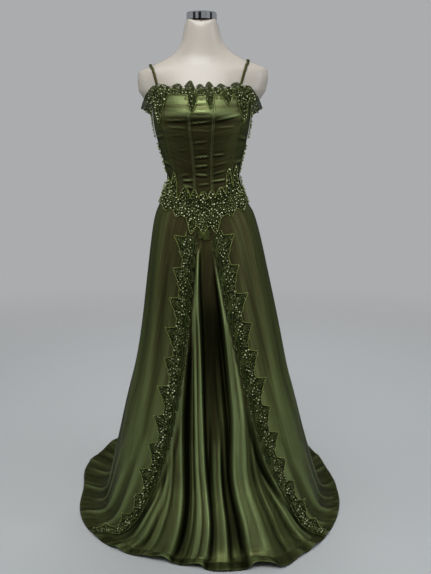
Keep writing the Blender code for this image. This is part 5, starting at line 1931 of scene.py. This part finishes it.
# The floor cloth fades out between these distances from the dress
FLOOR_FADE = (1.3, 4.5)
ROOM_STRENGTH = 0.36
ROOM_CLOTH = "#e4e8ec"
ROOM_GAP = "#3c3f40"
# Where the gaps between the cloths start and end, as shares of a turn round the room
ROOM_GAPS = ((0.06, 0.10), (0.20, 0.235), (0.30, 0.33), (0.45, 0.50), (0.70, 0.80))
GAP_BLUR = 0.012
# Name, place, aim, width, depth, power in watts and colour
LAMPS = (
    ("Overhead", (-0.2, -0.9, 3.3), (0.0, 0.1, 1.0), 2.4, 1.2, 34.0, "#ffffff"),
    ("Front_Key", (-0.3, -2.3, 3.3), (0.0, 0.0, 1.1), 1.6, 0.9, 44.0, "#ffffff"),
    ("Left_Strip", (-2.4, -0.9, 1.4), (0.0, 0.0, 0.9), 0.5, 2.2, 7.0, "#ffffff"),
    ("Right_Strip", (2.4, -1.1, 1.4), (0.0, 0.0, 0.9), 0.5, 2.2, 17.0, "#f7faff"),
    ("Back_Wash", (0.3, 2.6, 2.9), (0.0, 0.9, 0.0), 3.0, 1.8, 60.0, "#ffffff"),
)
SENSOR_WIDTH = 36.0


def lay_floor(scene):
    """A round floor cloth on the floor's level."""
    bpy.ops.object.select_all(action="DESELECT")
    bpy.ops.mesh.primitive_circle_add(
        vertices=96,
        radius=scene.dress_sizes.floor_radius,
        fill_type="NGON",
        location=(0.0, 0.0, 0.0),
    )
    floor = bpy.context.active_object
    floor.name = "Floor"
    paint = {"Roughness": 0.9, "Base Color": scene.dress_looks.floor_colour}
    made, tree, shader = new_material("Floor Cloth", paint)
    links = {0: add_node(tree, "ShaderNodeTexCoord").outputs["Object"]}
    away = add_node(tree, "ShaderNodeVectorMath", {"operation": "LENGTH"}, links=links)
    fade = add_node(
        tree,
        "ShaderNodeMapRange",
        {"interpolation_type": "SMOOTHSTEP"},
        {"From Min": FLOOR_FADE[0], "From Max": FLOOR_FADE[1]},
        {"Value": away.outputs["Value"]},
    )
    clear = add_node(tree, "ShaderNodeBsdfTransparent")
    links = {"Fac": fade.outputs["Result"], 1: shader.outputs["BSDF"], 2: clear.outputs["BSDF"]}
    mixed = add_node(tree, "ShaderNodeMixShader", links=links)
    tree.links.new(mixed.outputs["Shader"], tree.nodes["Material Output"].inputs["Surface"])
    floor.data.materials.append(made)


def light_room(scene):
    """Pale cloths hang round the dress with dark gaps between them, which the chrome shows. The
    camera sees a plain backdrop."""
    world = bpy.data.worlds.new("Studio")
    scene.world = world
    world.use_nodes = True
    sky = world.node_tree
    light = sky.nodes["Background"]
    light.inputs["Strength"].default_value = ROOM_STRENGTH
    links = {"Vector": add_node(sky, "ShaderNodeTexCoord").outputs["Generated"]}
    turn = add_node(sky, "ShaderNodeTexGradient", {"gradient_type": "RADIAL"}, links=links)
    cloth = shade(ROOM_CLOTH)
    gap = shade(ROOM_GAP)
    stops = [(0.0, cloth)]
    for start, end in ROOM_GAPS:
        stops += [(start - GAP_BLUR, cloth), (start, gap), (end, gap), (end + GAP_BLUR, cloth)]
    stops.append((1.0, cloth))
    links = {"Fac": turn.outputs["Fac"]}
    cloths = add_node(sky, "ShaderNodeValToRGB", links=links, stops=stops)
    sky.links.new(cloths.outputs["Color"], light.inputs["Color"])
    values = {"Color": scene.dress_looks.backdrop, "Strength": 1.0}
    seen = add_node(sky, "ShaderNodeBackground", values=values)
    links = {
        "Fac": add_node(sky, "ShaderNodeLightPath").outputs["Is Camera Ray"],
        1: light.outputs["Background"],
        2: seen.outputs["Background"],
    }
    pick = add_node(sky, "ShaderNodeMixShader", links=links)
    sky.links.new(pick.outputs["Shader"], sky.nodes["World Output"].inputs["Surface"])


def hang_lamps(scene):
    for name, place, aim, width, depth, power, code in LAMPS:
        data = bpy.data.lights.new(name, "AREA")
        data.shape = "RECTANGLE"
        data.size = width
        data.size_y = depth
        data.energy = power
        data.color = linear(code)
        lamp = bpy.data.objects.new(name, data)
        scene.collection.objects.link(lamp)
        lamp.location = place
        lamp.visible_glossy = name != "Back_Wash"
        x, y, z = np.array(aim) - np.array(place)
        tip = math.atan2(math.hypot(x, y), -z)
        lamp.rotation_euler = (tip, 0.0, math.atan2(x, -y) + math.pi)


def place_camera(scene):
    sizes = scene.dress_sizes
    data = bpy.data.cameras.new("Camera")
    data.lens = sizes.camera_lens
    data.sensor_width = SENSOR_WIDTH
    camera = bpy.data.objects.new("Camera", data)
    scene.collection.objects.link(camera)
    camera.location = (sizes.camera_side, -sizes.camera_distance, sizes.camera_height)
    camera.rotation_euler = (math.pi / 2.0 - sizes.camera_tilt, 0.0, 0.0)
    scene.camera = camera


# Operators, one for each piece or group of like pieces

class DRESS_OT_form(bpy.types.Operator):
    """Makes the smooth display form and gives its cap and stand their finishes"""

    bl_idname = "dress.form"
    bl_label = "Display Form"

    def execute(self, context):
        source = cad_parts["form_torso"]
        bpy.ops.object.select_all(action="DESELECT")
        torso = bpy.data.objects.new("Form_Torso", source.data.copy())
        context.scene.collection.objects.link(torso)
        torso.select_set(True)
        context.view_layer.objects.active = torso
        bpy.ops.object.mode_set(mode="EDIT")
        bpy.ops.mesh.select_all(action="SELECT")
        bpy.ops.mesh.remove_doubles(threshold=0.00005)
        bpy.ops.mesh.tris_convert_to_quads(face_threshold=0.7, shape_threshold=1.2)
        bpy.ops.mesh.normals_make_consistent(inside=False)
        bpy.ops.object.mode_set(mode="OBJECT")
        smooth = torso.modifiers.new("Smooth", "SUBSURF")
        smooth.levels = smooth.render_levels = 2
        torso.data.materials.clear()
        torso.data.materials.append(material("Painted Fibreglass"))
        bpy.ops.object.shade_smooth()
        torso.select_set(False)
        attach(torso, DRESS)
        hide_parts("form_torso")
        for node, finish in (
            ("neck_cap", "Chromed Steel"),
            ("stand_pole", "Chromed Steel"),
            ("stand_base", "Painted Fibreglass"),
            ("zip_chain", "Enamelled Zip"),
            ("zip_slider", "Enamelled Zip"),
            ("zip_pull", "Enamelled Zip"),
        ):
            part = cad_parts[node]
            part.data.materials.clear()
            part.data.materials.append(material(finish))
        return {"FINISHED"}


class DRESS_OT_bodice(bpy.types.Operator):
    """Makes the bodice's panels with their boning channels and pull wrinkles"""

    bl_idname = "dress.bodice"
    bl_label = "Bodice"

    def execute(self, context):
        for node, first, last in (
            ("bodice_back_left", -BACK_SEAM, -SIDE_SEAM),
            ("bodice_side_left", -SIDE_SEAM, -FRONT_SEAM),
            ("bodice_front_left", -FRONT_SEAM, -CENTRE_SEAM),
            ("bodice_centre_front", -CENTRE_SEAM, CENTRE_SEAM),
            ("bodice_front_right", CENTRE_SEAM, FRONT_SEAM),
            ("bodice_side_right", FRONT_SEAM, SIDE_SEAM),
            ("bodice_back_right", SIDE_SEAM, BACK_SEAM),
        ):
            grid = bodice_grid(first, last)
            # Painted light over the bust and painted shade where the bodice faces down
            light = painted_upper_light(grid)
            satin_panel(node, grid, BODICE_PAINTED_FOLDS, light, True)
        return {"FINISHED"}


class DRESS_OT_skirt(bpy.types.Operator):
    """Makes the overskirt's panels and the pleated inset, with their folds and creases"""

    bl_idname = "dress.skirt"
    bl_label = "Skirt"

    def execute(self, context):
        for side, sign, seed in (("left", -1.0, 11), ("right", 1.0, 12)):
            front = front_panel_grid(side, sign)
            back = back_panel_grid(sign)
            if sign < 0.0:
                front = front[:, ::-1]
                back = back[:, ::-1]
            for part, grid in (("front_", front), ("back_", back)):
                # Painted light on the skirt near the floor
                light = painted_floor_light(grid, PAINTED_SKIRT_LIGHT)
                satin_panel("skirt_" + part + side, grid, SKIRT_PAINTED_FOLDS, light)
            edge_lace(side, sign, front, seed)
        grid = inset_grid()
        # Painted light on the inset near the floor
        light = painted_floor_light(grid, PAINTED_INSET_LIGHT)
        satin_panel("skirt_inset", grid, INSET_PAINTED_FOLDS, light)
        return {"FINISHED"}


class DRESS_OT_bodice_lace(bpy.types.Operator):
    """Makes the beaded lace of the neckline, the waist and the sides"""

    bl_idname = "dress.bodice_lace"
    bl_label = "Bodice Lace"

    def execute(self, context):
        neck_lace(21)
        waist_lace(22)
        side_lace("left", -1.0, 23)
        side_lace("right", 1.0, 24)
        return {"FINISHED"}


class DRESS_OT_straps(bpy.types.Operator):
    """Makes the two shoulder straps"""

    bl_idname = "dress.straps"
    bl_label = "Straps"

    def execute(self, context):
        for side, sign in (("left", -1.0), ("right", 1.0)):
            grid = strap_grid(side, sign)
            if np.dot(grid_normals(grid)[80, 4], (0.0, 0.0, 1.0)) < 0.0:
                grid = grid[:, ::-1]
            piece = cloth_piece("Strap_" + side.title(), grid, "Shot Satin", STRAP_SHELL)
            finish_sheet(piece, "strap_" + side)
        return {"FINISHED"}


class DRESS_OT_sewing(bpy.types.Operator):
    """Sews the boning channels and the hem with rows of machine stitches"""

    bl_idname = "dress.sewing"
    bl_label = "Sewing"

    def execute(self, context):
        for name, rows in (("Channel_Stitches", channel_rows()), ("Hem_Stitches", hem_rows())):
            piece = stitches(name, rows)
            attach(piece, DRESS)
        return {"FINISHED"}


class DRESS_OT_studio(bpy.types.Operator):
    """Makes the floor, the light and the camera"""

    bl_idname = "dress.studio"
    bl_label = "Studio"

    def execute(self, context):
        lay_floor(context.scene)
        light_room(context.scene)
        hang_lamps(context.scene)
        place_camera(context.scene)
        context.scene.view_settings.view_transform = "Standard"
        return {"FINISHED"}


class DRESS_PT_panel(bpy.types.Panel):
    """Lists the pieces and their values"""

    bl_idname = "DRESS_PT_panel"
    bl_label = "Satin Prom Dress"
    bl_space_type = "VIEW_3D"
    bl_region_type = "UI"
    bl_category = "Dress"

    def draw(self, context):
        for group in (context.scene.dress_sizes, context.scene.dress_looks):
            for name in group.__annotations__:
                self.layout.prop(group, name)
        for piece in OPERATORS:
            self.layout.operator(piece.bl_idname)


OPERATORS = (
    DRESS_OT_studio,
    DRESS_OT_form,
    DRESS_OT_bodice,
    DRESS_OT_skirt,
    DRESS_OT_bodice_lace,
    DRESS_OT_straps,
    DRESS_OT_sewing,
)
CLASSES = (DressSizes, DressLooks, *OPERATORS, DRESS_PT_panel)


def register():
    for each in CLASSES:
        bpy.utils.register_class(each)
    bpy.types.Scene.dress_sizes = bpy.props.PointerProperty(type=DressSizes)
    bpy.types.Scene.dress_looks = bpy.props.PointerProperty(type=DressLooks)


def unregister():
    del bpy.types.Scene.dress_looks
    del bpy.types.Scene.dress_sizes
    for each in reversed(CLASSES):
        bpy.utils.unregister_class(each)


def main():
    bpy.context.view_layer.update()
    register()
    bpy.ops.dress.studio()
    bpy.ops.dress.form()
    bpy.ops.dress.bodice()
    bpy.ops.dress.skirt()
    bpy.ops.dress.bodice_lace()
    bpy.ops.dress.straps()
    bpy.ops.dress.sewing()


if __name__ == "__main__":
    main()
